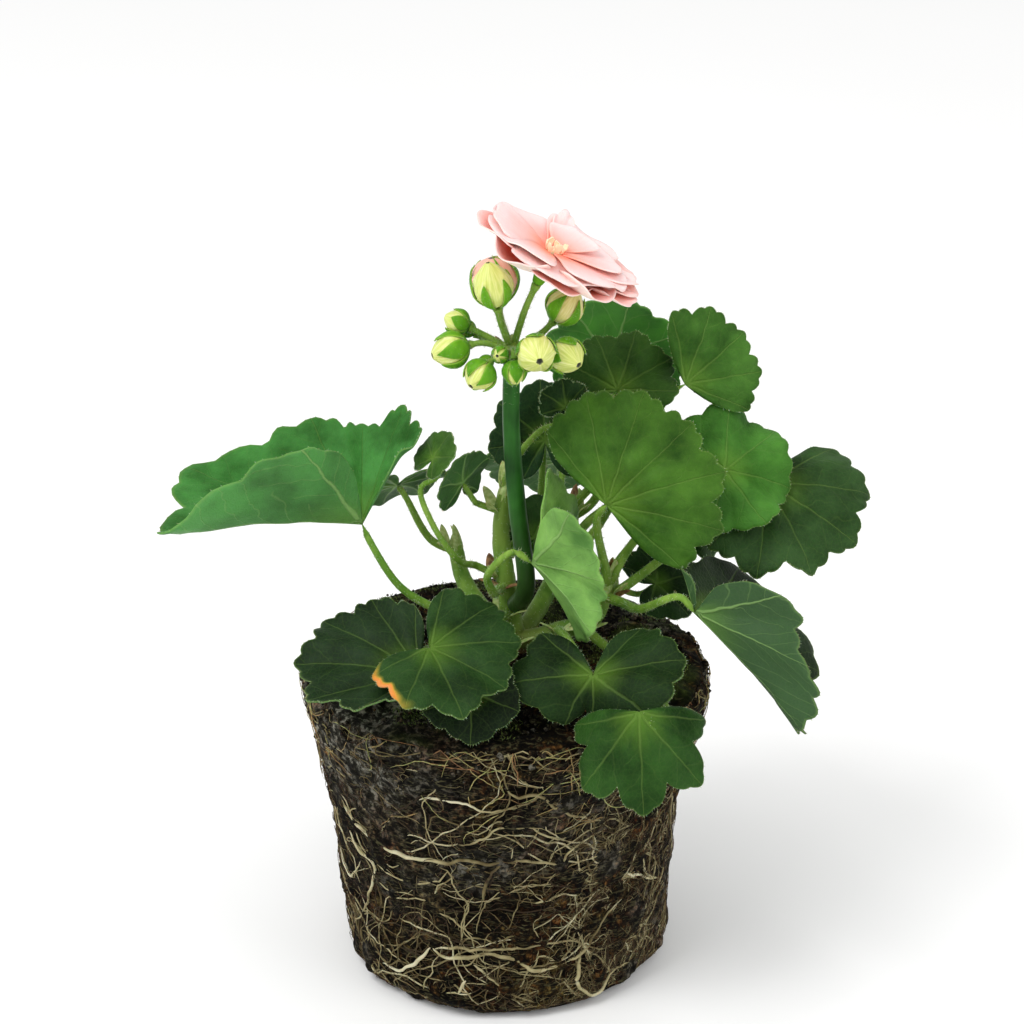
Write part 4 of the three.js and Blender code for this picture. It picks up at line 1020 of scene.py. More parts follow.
def bud_skins(index, row):
    """The furled egg, and five sepals that follow its profile a little outside it, with their down.

    The egg's radius at an angle is its profile plus a step that rises with the square of the place between
    one petal's edge and the next. Past the lip, near the tip, the profile turns down inside as a hole, which
    is painted dark as shade.
    """
    base, face, length, radius, sepal_reach, sepal_breadth, pink, opening = row
    axes, base = frame_of(face, 0), np.array(base, float)
    blunt = 1.0 if pink > 0.5 else 0.0
    around, rings = 60, 40
    v = np.linspace(0, 1, rings + 2)[1:-1]
    lip = 0.86
    outer = np.minimum(v / lip, 1)
    top = 1 - 0.5 * opening
    way = top * np.sin(outer * np.pi / 2) ** 1.15
    inside = smooth(lip, 1, v)
    angle = 2 * np.pi * np.arange(around) / around
    v_grid, a_grid = np.meshgrid(v, angle, indexing="ij")
    way_grid = np.repeat(way[:, None], around, axis=1)
    spiral = (5 * (a_grid / (2 * np.pi) + 0.28 * way_grid)) % 1
    step = 0.09 * radius * (spiral**2 - 0.4) * smooth(0.12, 0.5, way_grid) * smooth(0, 0.06, 1 - v_grid)
    shut = egg_radius(way, radius, blunt) * (1 - inside) + 0.02 * inside
    across = shut[:, None] + step * (shut[:, None] / radius) ** 0.5
    height = length * way - 1.6 * opening * radius * smooth(lip, 1, v) ** 0.7
    flat = np.stack([across * np.sin(a_grid), across * np.cos(a_grid), height[:, None] + 0 * a_grid], -1)
    ends = np.array([[0, 0, 0], [0, 0, height[-1] - 0.05]])
    points = np.vstack([flat.reshape(-1, 3), ends]) @ axes + base
    quads = grid_faces(rings, around, True)[:, ::-1]
    tris = np.concatenate(pole_faces(rings, around))[:, [0, 2, 1]]
    petal = np.stack([a_grid * radius, height[:, None] + 0 * a_grid, 0 * a_grid + index], -1).reshape(-1, 3)
    share = np.concatenate([way_grid.ravel(), [0, 1]])
    egg = {
        "points": points, "quads": quads, "tris": tris,
        "attributes": {
            "share": share,
            # Painted shade: 1 inside the hole past the lip, where the petal colour is darkened to near black.
            "inside": np.concatenate([np.repeat(smooth(0.84, 0.92, v), around), [0, 1]]),
            "petal": np.vstack([petal, [[0, 0, index], [0, length, index]]]),
            "pink": np.full(len(points), pink),
        },
    }
    skins = [(egg, bud_material)]
    rows, columns = 18, 9
    for number in range(5):
        wander = np.random.default_rng(100 * index + number)
        reach = sepal_reach * wander.uniform(0.88, 1.05)
        t, side = np.meshgrid(np.linspace(0, 1, rows), np.linspace(-1, 1, columns), indexing="ij")
        half = np.pi / 5 * sepal_breadth * (1 - t) ** 0.8 * (1 + 1.1 * t) + 0.015
        a = 2 * np.pi * number / 5 + half * side + 0.12 * t * wander.normal()
        w = 0.02 + reach * t
        ridge = 0.14 * radius * (1 - side**2) * np.maximum(0, 1 - w / 0.9)
        lift = 0.25 + 0.35 * ridge + 0.08 * radius * smooth(0.7, 1, t) * wander.uniform(0.2, 1.4)
        out = egg_radius(w, radius, blunt) + lift
        flat = np.stack([out * np.sin(a), out * np.cos(a), length * w - 0.2 * (1 - t)], -1).reshape(-1, 3)
        points = flat @ axes + base
        rim = smooth(0.75, 1, np.abs(side)).ravel()
        quads, loop = grid_faces(rows, columns, False)[:, ::-1], rim_of(rows, columns)[::-1]
        sepal = two_sided(points, quads, no_tris, loop, sepal_mm, age=0.45 * rim)
        normal = sheet_normals(points, quads, no_tris)
        down = hairs_on(points, normal, int(14 * radius), (0.4, 0.9), 0.1, 0.5, 7 * index + number)
        skins += [(sepal, sepal_material), (down, hair_material)]
    return skins


# %% Twelve buds
for index, row in enumerate(buds):
    name = f"bud_{index + 1:02d}"
    total_triangles += make_piece(f"{name}_furled", bud_skins(index, row), name)

# %% [markdown]
# ## The open bloom
# A double zonal geranium opens into broad overlapping petals, each soft, thin and waved. The colour is pale
# towards the thin tip and coral at the foot. The coral is partly the flower's own colour and partly painted
# shade, where shade falls between the petals. The petals of the lowest ring, which lie in the others' shade,
# get a deeper coral as painted shade. The reverse is paler and creamier. Again a petal is one function of its
# length and its breadth, and the two colours follow the place on the petal, not the lamps.


# %% Petal tissue
def petal_tissue():
    """Thin double-flower petal: a soft pink satin, coral at its foot, partly as painted shade, with fine
    veins from foot to margin.

    The veins are 0.8 mm apart and 13 mm long, in millimetres on the petal, and the clouds of colour 8 mm.
    """
    material, tree = new_material("pink_double_petal")
    share = add(tree, "Attribute", attribute_name="share").outputs["Fac"]
    edge = add(tree, "Attribute", attribute_name="edge").outputs["Fac"]
    upper = add(tree, "Attribute", attribute_name="upper").outputs["Fac"]
    petal = add(tree, "Attribute", attribute_name="petal").outputs["Vector"]
    place = add(tree, "TexCoord").outputs["Object"]
    cloud = add(tree, "TexNoise", {"Vector": place, "Scale": 120.0, "Detail": 2.0})
    # The colour runs from a coral foot to a pale tip. The coral foot lies low in the bloom, where shade falls
    # between petals, and is partly painted shade.
    shift = add(tree, "Math", [cloud.outputs["Fac"], 0.3, share], operation="MULTIPLY_ADD")
    # Painted shade: deep is 1 on the petals of the lowest ring, which lie in the others' shade, and moves
    # their faces to a deeper coral.
    deep = add(tree, "Attribute", attribute_name="deep").outputs["Fac"]
    inner = add(tree, "Math", [deep, -0.42, shift], operation="MULTIPLY_ADD")
    face = add(tree, "ValToRGB", [inner], stops=[
        (0.25, "#ff8a70"), (0.38, "#ffa38f"), (0.58, "#ffb9b0"), (0.82, "#ffccc8"), (1.0, "#ffdad8"),
    ])
    back = add(tree, "ValToRGB", [shift], stops=[(0.2, "#f59a7c"), (0.45, "#fdcdb4"), (0.9, "#ffe4da")])
    colour = add(tree, "Mix", [upper, back, face], data_type="RGBA")
    vein = add(tree, "Mapping", {"Vector": petal, "Scale": (1.0, 0.06, 1.0)})
    vein = add(tree, "TexNoise", {"Vector": vein, "Scale": 1.3, "Detail": 4.0, "Roughness": 0.65})
    line = add(tree, "MapRange", [vein.outputs["Fac"], 0.5, 0.75, 0.0, 0.2])
    colour = add(tree, "Mix", [line, colour, linear("#f6a698")], data_type="RGBA")
    pale = add(tree, "Math", [edge, 0.2], operation="MULTIPLY")
    colour = add(tree, "Mix", [pale, colour, linear("#fee6e2")], data_type="RGBA")
    heart = add(tree, "Attribute", attribute_name="heart").outputs["Fac"]
    colour = add(tree, "Mix", [heart, colour, linear("#ffe8c6")], data_type="RGBA")
    bump = add(tree, "Bump", {"Strength": 0.25, "Distance": 0.0005, "Height": vein.outputs["Fac"]})
    finish_with(tree, add(tree, "BsdfPrincipled", {
        "Base Color": colour, "Roughness": 0.5, "Normal": bump, "Subsurface Weight": 0.3,
        "Subsurface Radius": (1.0, 0.55, 0.45), "Subsurface Scale": 0.0009, "Specular IOR Level": 0.2,
        "Sheen Weight": 0.05, "Sheen Roughness": 0.4,
    }))
    return material


petal_material = petal_tissue()
print("made", petal_material.name)

# %% The petals' rows
# Each petal: the turn round the axis, the slope at its foot, its length and breadth, its curl, how far its
# sides are drawn up, the height of its foot, and 1 where it belongs to the pale heart.
petals = [
    (-10, 4, 20.5, 24, 4, 0.05, 0.2, 0), (-56, 2, 22, 17, 14, 0.6, -3.8, 0),
    (-98, -4, 18.5, 19, 10, 0.1, -0.8, 0), (234, 4, 22.5, 17, 12, 0.6, -3.6, 0),
    (203, 3, 24, 15, 6, 0.2, -1.2, 0), (190, 5, 23.5, 15, 4, 0.1, -0.2, 0),
    (175, 7, 22.5, 17, 2, 0.1, 0.4, 0), (151, 7, 23.5, 19, 0, 0.1, 0.2, 0),
    (117, 9, 23.5, 22, 0, 0.15, 0.8, 0), (95, 15, 21.5, 6, 0, 0.6, 1.2, 0),
    (50, 9, 18.5, 24, 0, 0.06, 1.2, 0), (8, 9, 17, 23, 4, 0.04, 1.5, 0),
    (-42, 11, 18, 26, -10, 0.04, 1.7, 0), (-92, 9, 19, 25, -16, 0.04, 1.5, 0),
    (218, 8, 20, 24, -6, 0.06, 2.2, 0), (160, 13, 17, 21, -8, 0.08, 2.4, 0),
    (118, 20, 12, 15, 0, 0.1, 2.4, 0),
    *[(51 * k, 52 + 9 * (k % 3), 2.6 + 0.7 * (k % 2), 2.0, 30, 0.4, 1.7, 1) for k in range(7)],
]
petal_foot, petal_height, petal_mm = 1.8, 7.5, 0.34
print("petals", len(petals))


# %% One petal
def petal_skin(index, row):
    """A petal's point at the share way of its length and side of its breadth, from -1 to 1.

    Its half breadth is b / 2 (0.2 + 0.8 sin(0.56 pi way^1.1)^0.9). It rises on an arc from its foot and is
    shorter towards its sides, which are drawn up by the square of their share. Waves that grow towards the
    margin run round it.
    """
    turn, slope, length, breadth, curl, cup, lift, heart = row
    along, across = 26, 21
    way, side = np.meshgrid(np.linspace(0, 1, along), np.linspace(-1, 1, across), indexing="ij")
    half = 0.5 * breadth * (0.2 + 0.8 * np.sin(0.56 * np.pi * way**1.1) ** 0.9)
    foot = np.radians(slope)
    bend = np.radians(curl) if curl else 1e-6
    dent = 0.03 * np.exp(-((side / 0.2) ** 2)) * way**6
    span = length / bend * (1 - 0.3 * np.abs(side) ** 2.6 * way - dent)
    out = petal_foot + span * (np.sin(foot + bend * way) - np.sin(foot))
    rise = lift + span * (np.cos(foot) - np.cos(foot + bend * way)) + cup * half * side**2
    chance = np.random.default_rng(300 + index)
    margin = np.maximum(np.abs(side) ** 3 * smooth(0.15, 0.6, way), smooth(0.55, 1, way))
    phase = chance.uniform(0, 2 * np.pi, 3)
    wave = np.sin(2.3 * side + phase[0]) * way + 0.6 * np.sin(5.1 * side + 2.5 * way + phase[1]) * margin
    crease = noise(np.stack([side * 6, way * 2, 0 * way + 9 * index], -1), 2.2)
    rise = rise + 0.026 * length * wave + 0.5 * crease * (0.3 * way + 0.7 * margin)
    cosine, sine = np.cos(np.radians(turn)), np.sin(np.radians(turn))
    x, y = half * side, out
    flat = np.stack([x * cosine + y * sine, y * cosine - x * sine, rise], -1).reshape(-1, 3)
    axes = frame_of(bloom_face, 0)
    points = flat @ axes + bloom_base + petal_height * axes[2]
    petal = np.stack([side * half, way * length, 0 * way + 5.0 * index], -1).reshape(-1, 3)
    edge = np.maximum(smooth(0.8, 1, np.abs(side)), smooth(0.88, 1, way)).ravel()
    quads, loop = grid_faces(along, across, False), rim_of(along, across)
    return two_sided(
        points, quads, no_tris, loop, petal_mm, petal=petal, share=way.ravel(), edge=edge,
        # Painted shade: deep marks the lowest ring of petals, which lie in the others' shade.
        heart=np.full(way.size, float(heart)), deep=np.full(way.size, float(lift < 0.3)),
    )


# %% The whole bloom
def bloom_skins():
    """The green cup and core under the petals, the cream dome at the heart, the petals, and five sepals."""
    axes = frame_of(bloom_face, 0)
    profile = np.array([(0.3, 0), (1.4, 0), (2.5, 4), (3.3, 6.4), (2.6, 7.4), (0.2, 7.8)])
    way = np.linspace(0, 1, 40)
    height = np.interp(way, np.linspace(0, 1, len(profile)), profile[:, 1])
    radius = np.interp(way, np.linspace(0, 1, len(profile)), profile[:, 0])
    rising = height + 0.004 * np.arange(40)
    path = bloom_base + np.outer(rising, axes[2])
    core = tubes(path, radius[None], 24, age=np.zeros((1, 40)))
    rise = np.linspace(6.2, 10.4, 20)
    dome = 3.0 * np.linspace(1, 0.05, 20) ** 0.8
    one = np.ones((1, 20))
    heart = tubes(
        bloom_base + np.outer(rise, axes[2]), dome[None], 20,
        share=0.5 * one, edge=0 * one, heart=one, upper=one, deep=0 * one,
    )
    skins = [(core, sepal_material), (heart, petal_material)]
    skins += [(petal_skin(index, row), petal_material) for index, row in enumerate(petals)]
    for number in range(5):
        sepal_axes = frame_of(bloom_face, 72 * number)
        foot = bloom_base + 3.0 * axes[2] + 2.2 * sepal_axes[1]
        side, out, up = sepal_axes[0], 0.7 * sepal_axes[1], 0.7 * axes[2]
        lean = np.array([side, unit(out + up), unit(up - out)])
        skins.append((scale(foot, lean, 8.5, 4.2, -25, 0.0), sepal_material))
    return skins


total_triangles += make_piece("bloom_petals", bloom_skins(), "bloom")
print("triangles so far", total_triangles)

# %% [markdown]
# ## The root ball
# The ball kept the pot's taper. Its wall is a profile turned round the axis, with slow lumps as in the
# solid and finer crumbs from noise. Peat is dark and fibrous, with dry grey places, so its colour is noise
# at several sizes. A displacement map would be simpler, but here the crumbs belong to the mesh.


# %% Peat material
def moist_peat():
    """Moist sphagnum peat: near black to warm brown crumbs, straw-coloured fibre, dusty grey where dry.

    Crumbs are 2.4 mm and all that is finer, clods 1.9 mm, fibres 1 mm thick and 5 mm long, warmer places 8 mm
    and the darker and lighter patches 17 mm. The fibres are drawn coarser than real ones, which don't show.
    """
    material, tree = new_material("moist_fibrous_peat")
    place = add(tree, "TexCoord").outputs["Object"]
    crumb = add(tree, "TexNoise", {"Vector": place, "Scale": 420.0, "Detail": 8.0, "Roughness": 0.7})
    patch = add(tree, "TexNoise", {"Vector": place, "Scale": 60.0, "Detail": 3.0})
    mixed = add(tree, "Math", [patch.outputs["Fac"], 0.5, crumb.outputs["Fac"]], operation="MULTIPLY_ADD")
    colour = add(tree, "ValToRGB", [mixed], stops=[
        (0.6, "#030202"), (0.74, "#110c07"), (0.82, "#2f2417"), (0.9, "#66553c"), (1.0, "#a0916f"),
    ])
    # Painted shade: each clod is darker towards its edges, for the shade in the cracks between clods.
    clod = add(tree, "TexVoronoi", {"Vector": place, "Scale": 520.0}, feature="DISTANCE_TO_EDGE")
    clod = add(tree, "ValToRGB", [clod.outputs["Distance"]], stops=[(0.0, "#4a4640"), (0.22, "#ffffff")])
    colour = add(tree, "Mix", [0.8, colour, clod], data_type="RGBA", blend_type="MULTIPLY")
    warm = add(tree, "TexNoise", {"Vector": place, "Scale": 130.0, "Detail": 3.0})
    warm = add(tree, "ValToRGB", [warm.outputs["Fac"]], stops=[(0.38, "#ffc294"), (0.6, "#e2e0aa")])
    colour = add(tree, "Mix", [1.0, colour, warm], data_type="RGBA", blend_type="MULTIPLY")
    thread = add(tree, "Mapping", {"Vector": place, "Scale": (0.35, 0.35, 1.6)})
    thread = add(tree, "TexNoise", {"Vector": thread, "Scale": 620.0, "Detail": 4.0, "Distortion": 2.2})
    thread = add(tree, "MapRange", [thread.outputs["Fac"], 0.55, 0.66, 0.0, 0.55])
    colour = add(tree, "Mix", [thread, colour, linear("#5f5b3f")], data_type="RGBA")
    dry = add(tree, "Attribute", attribute_name="dry").outputs["Fac"]
    dusty = add(tree, "ValToRGB", [crumb.outputs["Fac"]], stops=[
        (0.38, "#0b0a08"), (0.5, "#302f27"), (0.61, "#99978a"),
    ])
    colour = add(tree, "Mix", [dry, colour, dusty], data_type="RGBA")
    moss = add(tree, "Attribute", attribute_name="moss").outputs["Fac"]
    green = add(tree, "ValToRGB", [crumb.outputs["Fac"]], stops=[
        (0.35, "#1c2010"), (0.6, "#3f4c1f"), (0.8, "#7b8a3a"),
    ])
    colour = add(tree, "Mix", [moss, colour, green], data_type="RGBA")
    bump = add(tree, "Bump", {"Strength": 0.9, "Distance": 0.0015, "Height": crumb.outputs["Fac"]})
    finish_with(tree, add(tree, "BsdfPrincipled", {
        "Base Color": colour, "Roughness": 0.92, "Normal": bump, "Specular IOR Level": 0.08,
    }))
    return material


# %% Root material
def living_root():
    """Young root: cream and slightly wet where it grew this season, tan where older, stained every 4 mm."""
    material, tree = new_material("cream_living_root")
    age = add(tree, "Attribute", attribute_name="age").outputs["Fac"]
    place = add(tree, "TexCoord").outputs["Object"]
    stain = add(tree, "TexNoise", {"Vector": place, "Scale": 260.0, "Detail": 4.0})
    mixed = add(tree, "Math", [stain.outputs["Fac"], 0.7, age], operation="MULTIPLY_ADD")
    colour = add(tree, "ValToRGB", [mixed], stops=[
        (0.3, "#c9c4a4"), (0.5, "#a39a72"), (0.8, "#655a3a"), (1.0, "#33291b"),
    ])
    bump = add(tree, "Bump", {"Strength": 0.4, "Distance": 0.0003, "Height": stain.outputs["Fac"]})
    finish_with(tree, add(tree, "BsdfPrincipled", {
        "Base Color": colour, "Roughness": 0.6, "Normal": bump, "Specular IOR Level": 0.15,
        "Subsurface Weight": 0.1, "Subsurface Scale": 0.0006,
    }))
    return material


peat_material, root_material = moist_peat(), living_root()
print("made", peat_material.name, root_material.name)

# %% The ball's skin
lumps = 1.1
wall = np.array([
    (41, 0), (45, 4), (45.8, 21), (47, 37), (49, 52), (52, 67), (55.4, 79), (56, 84), (54.5, 87.4),
])
top = np.array([(50, 88.4), (34, 88.8), (17, 89), (0.01, 89.2)])


def lump_at(angle, height):
    """How far the peat stands out: slow swells of 3 and 5 round the ball, and quicker ones of 11."""
    slow = np.sin(3 * angle + 0.11 * height) + np.sin(5 * angle - 0.17 * height + 2)
    quick = np.sin(11 * angle + 0.31 * height + 1) * np.sin(0.23 * height + 7 * angle)
    return lumps * (0.35 * slow + 0.45 * quick)


def on_wall(degrees, height, out=0.0):
    """A point of the wall at an angle from the front towards +X, in degrees, and a height, moved outwards."""
    angle = np.radians(np.asarray(degrees) - 90)
    radius = np.interp(height, wall[:, 1], wall[:, 0]) + lump_at(angle, height) + out
    return np.stack([radius * np.cos(angle), radius * np.sin(angle), height + 0 * angle], -1)


print("the wall's front at half height is at", np.round(on_wall(0, 43), 1))


# %% The whole ball
def peat_skin():
    """The profile turned round the axis: a ring of points for each station, and a point at each end.

    The wall is moved out by the lumps, 1.2 mm of crumb noise, and 1.3 mm more low down, where it is ragged.
    The top is moved up and down by 2 mm of noise. It is driest at the upper left of its front.
    """
    profile = np.vstack([[(0.01, 0)], [(12, 0)], [(25, 0)], wall, top])
    length = np.concatenate([[0], np.cumsum(np.linalg.norm(np.diff(profile, axis=0), axis=1))])
    stations = np.concatenate([np.linspace(0.01, 41, 12)[:-1], np.linspace(41, length[-1] - 0.5, 116)])
    around = 280
    r = np.interp(stations, length, profile[:, 0])
    z = np.interp(stations, length, profile[:, 1])
    angle = 2 * np.pi * np.arange(around) / around
    r_grid, a_grid = np.meshgrid(r, angle, indexing="ij")
    z_grid = np.repeat(z[:, None], around, axis=1)
    on_side = smooth(20, 44, r_grid) * (z_grid > 0.5)
    radius = r_grid + on_side * lump_at(a_grid, z_grid)
    points = np.stack([radius * np.cos(a_grid), radius * np.sin(a_grid), z_grid], -1)
    is_top = smooth(87.0, 88.3, z_grid)
    crumb = noise(points, 5.0, 4)
    away = np.stack([np.cos(a_grid), np.sin(a_grid), 0 * a_grid], -1)
    ragged = 1.3 * (1 - smooth(1, 14, z_grid)) * noise(points, 6.0, 2)
    points += ((1.2 * crumb + ragged) * on_side * (1 - is_top))[..., None] * away
    points[..., 2] += is_top * (2.0 * noise(points, 9.0, 4) - 0.4) * smooth(0, 3, 56.5 - r_grid)
    points = points.reshape(-1, 3)
    points[:, 2] = np.maximum(points[:, 2], 0)
    points = np.vstack([points, [0, 0, 0], [0, 0, 89]])
    # Dry peat lies high on the left of the front, in a small place lower down, and here and there by chance.
    front = np.degrees(np.arctan2(points[:, 0], -points[:, 1]))
    left = 1.4 * np.exp(-(((front + 52) / 26) ** 2)) * smooth(48, 74, points[:, 2])
    low = 0.35 * np.exp(-(((front + 38) / 16) ** 2) - ((points[:, 2] - 38) / 12) ** 2)
    other = 0.5 * smooth(0.25, 0.8, noise(points, 24.0, 2))
    dry = np.clip((left + low + other) * (0.55 + 0.6 * noise(points, 4.0, 2)), 0, 0.9)
    moss = smooth(86.5, 88.5, points[:, 2]) * smooth(0.0, 0.5, noise(points, 12.0, 2)) * 0.9
    quads, tris = grid_faces(len(stations), around, True), np.concatenate(pole_faces(len(stations), around))
    return {"points": points, "quads": quads, "tris": tris, "attributes": {"dry": dry, "moss": moss}}


total_triangles += make_piece("peat_ball", [(peat_skin(), peat_material)], "root_ball")

# %% [markdown]
# ## The roots
# Roots that met the pot's wall turned and ran round it, most of all low down. The thick ones that show in
# front are listed one by one, as angles from the front and heights. The many finer ones are chance walks over
# the wall. Each keeps its heading but for small turns, and all the roots of one thickness are one array.

# %% Thick roots one by one
thick_roots = [
    [(-66, 55), (-56, 51), (-42, 49), (-31, 49), (-21, 50), (-8, 51), (0, 51), (5, 52), (16, 50), (22, 55),
     (32, 58)],
    [(-24, 21), (-21, 19), (-14, 20), (-7, 21), (0, 20), (7, 17), (11, 15), (19, 16), (25, 18), (30, 20),
     (33, 26), (42, 32)],
    [(-23, 21), (-16, 23), (-7, 23), (4, 23), (14, 23), (24, 23), (29, 22)],
    [(-25, 21), (-30, 16), (-39, 10), (-48, 10)],
    [(-61, 47), (-55, 44), (-48, 41), (-50, 34), (-56, 24), (-70, 13)],
    [(-70, 38), (-67, 32), (-62, 32), (-54, 40)],
    [(1, 76), (4, 74), (9, 74), (15, 69), (21, 65), (27, 62), (34, 58)],
    [(-24, 70), (-18, 71), (-12, 71), (-5, 69), (0, 70), (6, 72)],
    [(-14, 57), (-6, 60), (-1, 63), (5, 64), (12, 62)],
    [(-6, 39), (-6, 44), (-3, 49), (2, 51)],
    [(-27, 33), (-21, 32), (-15, 30), (-10, 28)],
    [(27, 20), (27, 13), (28, 7), (33, 4), (38, 5), (40, 9), (50, 9)],
    [(43, 40), (52, 36), (63, 31)],
    [(52, 42), (54, 37), (63, 31)],
    [(67, 57), (72, 49), (78, 39)],
    [(10, 38), (18, 39), (32, 39)],
    [(-10, 18), (-5, 14), (-2, 10), (-2, 7)],
    [(-13, 12), (-17, 7), (-21, 4)],
]
thick_mm = [0.7, 0.75, 0.55, 0.7, 0.55, 0.5, 0.55, 0.45, 0.4, 0.6, 0.45, 0.7, 0.6, 0.5, 0.5, 0.4, 0.45, 0.5]
# The radii are first readings in millimetres. All are drawn at this share of them.
thick_share = 0.85


def thick_root_skins():
    """Each thick root: a tube over the wall that wanders by noise, mostly along the wall, and tapers."""
    skins = []
    for row, radius in zip(thick_roots, thick_mm):
        degrees, height = np.array(row, float).T
        path, _ = route(on_wall(degrees, height, 0.35), 16 + 6 * len(row))
        away = unit(path * [1, 1, 0])
        shake = 0.8 * np.stack([noise(path + 50 * k, 5.0, 3) for k in range(3)], -1)
        path = path + shake - 0.75 * (shake * away).sum(-1, keepdims=True) * away
        way = np.linspace(0, 1, len(path))
        thick = thick_share * radius * (1 - 0.55 * way**1.5) * (1 + 0.12 * noise(path, 3.0, 2))
        thick = thick * np.sqrt(np.minimum(1, 0.06 + 6 * np.minimum(way, 1 - way)))
        tube = tubes(path, thick[None], 8, age=(0.4 * noise(path, 12.0) + 0.15)[None])
        skins.append((tube, root_material))
    return skins


total_triangles += make_piece("thick_roots", thick_root_skins(), "root_ball")


# %% Chance walks over the wall
low_edge, high_edge, middle_radius = 1.2, 86, 48


def root_walks(count, stations, step_mm, radius_mm, sides, level, wild, out_mm, ages, seed, low=1.25):
    """Roots as chance walks: the heading adds a small chance turn at each step, and the place the heading.

    A walk that reaches the wall's top or foot is turned back, and its way sideways becomes an angle by the
    wall's middle radius. A first height is the wall's height times a chance share to the power low: with low
    over 1 most are low down, and with low near 0 nearly all are at the top.
    """
    chance = np.random.default_rng(seed)
    height = high_edge * chance.random(count) ** low
    # Three roots in ten gather round 42 degrees right of the front, and half of all set off each way round.
    dense = chance.random(count) < 0.3
    degrees = np.where(dense, 42 + 18 * chance.normal(size=count), chance.uniform(-180, 180, count))
    heading = np.where(chance.random(count) < 0.5, 0, np.pi) + level * chance.normal(size=count)
    turns = np.cumsum(wild * chance.normal(size=(count, stations)), axis=1) + heading[:, None]
    step = step_mm * chance.uniform(0.6, 1.4, count)[:, None]
    across = np.cumsum(np.cos(turns), axis=1) * step
    up = height[:, None] + np.cumsum(np.sin(turns), axis=1) * step
    up = high_edge - np.abs(high_edge - np.abs(up - low_edge))
    up = np.clip(up + low_edge, low_edge, high_edge + 1)
    where = degrees[:, None] + np.degrees(across / middle_radius)
    depth = out_mm[0] + (out_mm[1] - out_mm[0]) * (0.5 + 0.5 * noise(on_wall(where, up), 7.0, 2))
    path = on_wall(where, up, depth)
    way = np.linspace(0, 1, stations)
    size = chance.uniform(*radius_mm, (count, 1))
    thick = size * (1 - 0.5 * way) * np.sqrt(np.minimum(1, 0.15 + 8 * np.minimum(way, 1 - way)))
    outward = path.copy()
    outward[..., 2] = 0
    age = chance.uniform(*ages, (count, 1)) + 0 * way
    return tubes(path, thick, sides, unit(outward), age=age)


middle = root_walks(560, 24, 1.7, (0.12, 0.34), 4, 0.42, 0.32, (-0.4, 0.6), (0.05, 0.85), 21)
total_triangles += make_piece("middle_roots", [(middle, root_material)], "root_ball")
fine = root_walks(3000, 7, 1.1, (0.06, 0.13), 3, 1.0, 0.6, (0.0, 1.2), (0.3, 1.0), 22)
total_triangles += make_piece("fine_fibres", [(fine, root_material)], "root_ball")

# %% [markdown]
# ## Moss and crumbs on top
# Years of watering grow a thin moss on peat. It is thousands of tiny shoots, which needles give well enough
# at this size. Crumbs of peat lie loose among them, and dead straw hangs over the shoulder. A crumb is a
# tube of four stations and four sides, short and fat, because fifteen hundred of them leave room for no more.


# %% Moss
def moss_leaf():
    """Moss: tiny pointed leaves, fresh yellow-green at their tips and dark below, in tufts of 5 mm."""
    material, tree = new_material("living_moss")
    fresh = add(tree, "Attribute", attribute_name="share").outputs["Fac"]
    place = add(tree, "TexCoord").outputs["Object"]
    vary = add(tree, "TexNoise", {"Vector": place, "Scale": 200.0, "Detail": 2.0})
    mixed = add(tree, "Math", [fresh, 0.5, vary.outputs["Fac"]], operation="MULTIPLY_ADD")
    colour = add(tree, "ValToRGB", [mixed], stops=[(0.4, "#2a3312"), (0.7, "#56692a"), (1.0, "#93a648")])
    finish_with(tree, add(tree, "BsdfPrincipled", {"Base Color": colour, "Roughness": 0.7}))
    return material


def moss_skins():
    """Needles that lean by chance, at chance places of the top where slow noise is above a level."""
    chance = np.random.default_rng(31)
    count = 9000
    r = 51 * np.sqrt(chance.random(count))
    a = chance.uniform(0, 2 * np.pi, count)
    feet = np.stack([r * np.cos(a), r * np.sin(a), 88.0 + 0 * a], -1)
    grown = noise(feet, 12.0, 2) > 0.05
    feet = feet[grown]
    feet[:, 2] += 0.6 + 1.2 * noise(feet, 9.0, 3)
    feet[:, 2] = np.minimum(feet[:, 2], 90.5)
    way = unit(np.array([0, 0, 1.0]) + 0.6 * chance.normal(size=feet.shape))
    tips = feet + way * chance.uniform(0.5, 1.3, (len(feet), 1))
    moss = needles(feet, tips, 0.35)
    moss["attributes"]["share"] = np.tile([0, 0, 0, 1.0], len(feet))
    return [(moss, moss_leaf())]


total_triangles += make_piece("moss", moss_skins(), "root_ball")


# %% Crumbs and straw
def crumb_skins():
    """Crumbs over the top and the shoulder: short tubes, 0.5, 1, 0.9 and 0.4 of their size in radius."""
    chance = np.random.default_rng(41)
    count, on_top = 1500, 900
    degrees = chance.uniform(-180, 180, count)
    angle = np.radians(degrees - 90)
    r = 50 * np.sqrt(chance.random(count))
    flat = np.stack([r * np.cos(angle), r * np.sin(angle), 88.8 + 0 * r], -1)
    flat[:, 2] += 2.0 * noise(flat, 9.0, 4)
    shoulder = on_wall(degrees, 86.5 - 16 * chance.random(count) ** 2, 0.1)
    feet = np.where(np.arange(count)[:, None] < on_top, flat, shoulder)
    size = 0.35 + 0.8 * chance.random((count, 1)) ** 3
    way = unit(chance.normal(size=(count, 3)))
    path = feet[:, None] + way[:, None] * (np.array([-1, -0.45, 0.4, 1]) * size)[..., None]
    dry = chance.uniform(0, 0.5, (count, 1)) + np.zeros(4)
    return [(tubes(path, size * [0.5, 1, 0.9, 0.4], 4, dry=dry, moss=0 * dry), peat_material)]


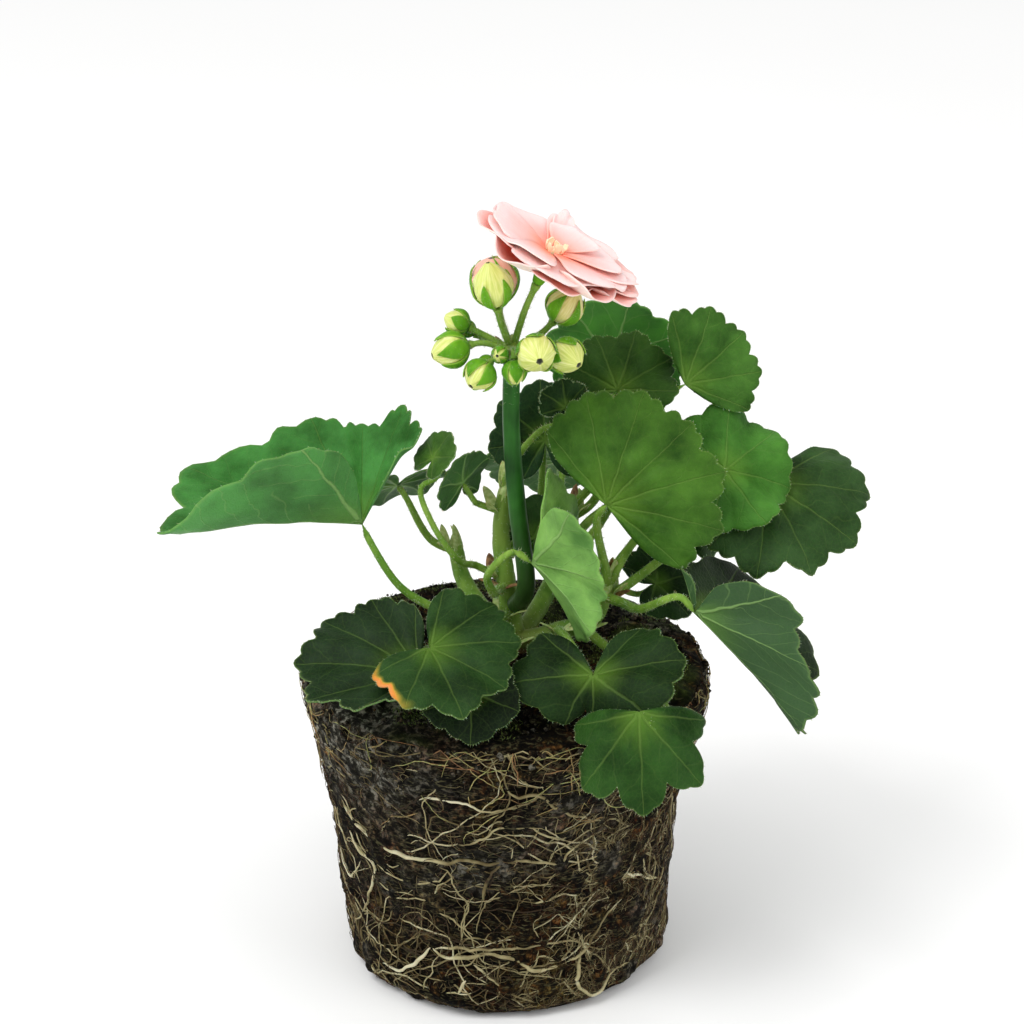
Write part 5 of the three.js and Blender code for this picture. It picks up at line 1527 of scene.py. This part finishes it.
total_triangles += make_piece("peat_crumbs", crumb_skins(), "root_ball")
straw = root_walks(170, 9, 1.5, (0.1, 0.2), 4, 0.7, 0.3, (0.3, 1.0), (0.35, 1.0), 23, 0.08)
total_triangles += make_piece("dead_straw", [(straw, scale_material)], "root_ball")
print("triangles in all", total_triangles)

# %% [markdown]
# ## Stage, light and camera
# The plant stands on a plain pale floor in soft light. A large lamp high on the left shapes the leaves, and
# an even white surrounding keeps the shadows open. The camera looks 23 degrees down from about 0.8 m away
# through a long lens, which gives the photograph's own view.


# %% Stage
def pale_floor():
    """Matt white studio floor, with the faintest unevenness of paper, a third of a metre across."""
    material, tree = new_material("matt_white_floor")
    place = add(tree, "TexCoord").outputs["Object"]
    paper = add(tree, "TexNoise", {"Vector": place, "Scale": 3.0, "Detail": 2.0})
    colour = add(tree, "ValToRGB", [paper.outputs["Fac"]], stops=[(0.0, "#fbfbfa"), (1.0, "#fefefe")])
    matt = {"Base Color": colour, "Roughness": 1.0, "Specular IOR Level": 0.0}
    finish_with(tree, add(tree, "BsdfPrincipled", matt))
    return material


mesh = bpy.data.meshes.new("floor")
corner = 6.0
corners = [(-corner, -corner, 0), (corner, -corner, 0), (corner, corner, 0), (-corner, corner, 0)]
mesh.from_pydata(corners, [], [(0, 1, 2, 3)])
mesh.materials.append(pale_floor())
floor = bpy.data.objects.new("floor", mesh)
bpy.context.scene.collection.objects.link(floor)

world = bpy.data.worlds.new("white_surrounding")
world.use_nodes = True
background = world.node_tree.nodes["Background"]
background.inputs["Color"].default_value = (1, 1, 1, 1)
background.inputs["Strength"].default_value = 0.85
bpy.context.scene.world = world
bpy.context.scene.view_settings.view_transform = "Standard"


def lamp(name, place, target, size, watts):
    """A square lamp that looks at its target."""
    data = bpy.data.lights.new(name, "AREA")
    data.shape, data.size, data.energy = "SQUARE", size, watts
    made = bpy.data.objects.new(name, data)
    made.location = place
    back = unit(np.array(place, float) - np.array(target, float))
    side = unit(np.cross([0, 0, 1.0], back))
    made.rotation_euler = Matrix(np.array([side, np.cross(back, side), back]).T.tolist()).to_euler()
    bpy.context.scene.collection.objects.link(made)


lamp("key", (-0.75, -0.7, 1.5), (0, 0, 0.12), 0.8, 14)
lamp("fill", (1.0, -0.6, 0.9), (0, 0, 0.12), 0.8, 3)

downwards, lens_mm, sensor_mm = 22.74, 102.4, 36.0
camera_data = bpy.data.cameras.new("camera")
camera_data.sensor_width = sensor_mm
camera_data.lens = lens_mm
camera = bpy.data.objects.new("camera", camera_data)
camera.location = (0.002, -0.726, 0.436)
camera.rotation_euler = (np.radians(90 - downwards), 0, 0)
bpy.context.scene.collection.objects.link(camera)
bpy.context.scene.camera = camera
print("camera at", tuple(round(v, 3) for v in camera.location))
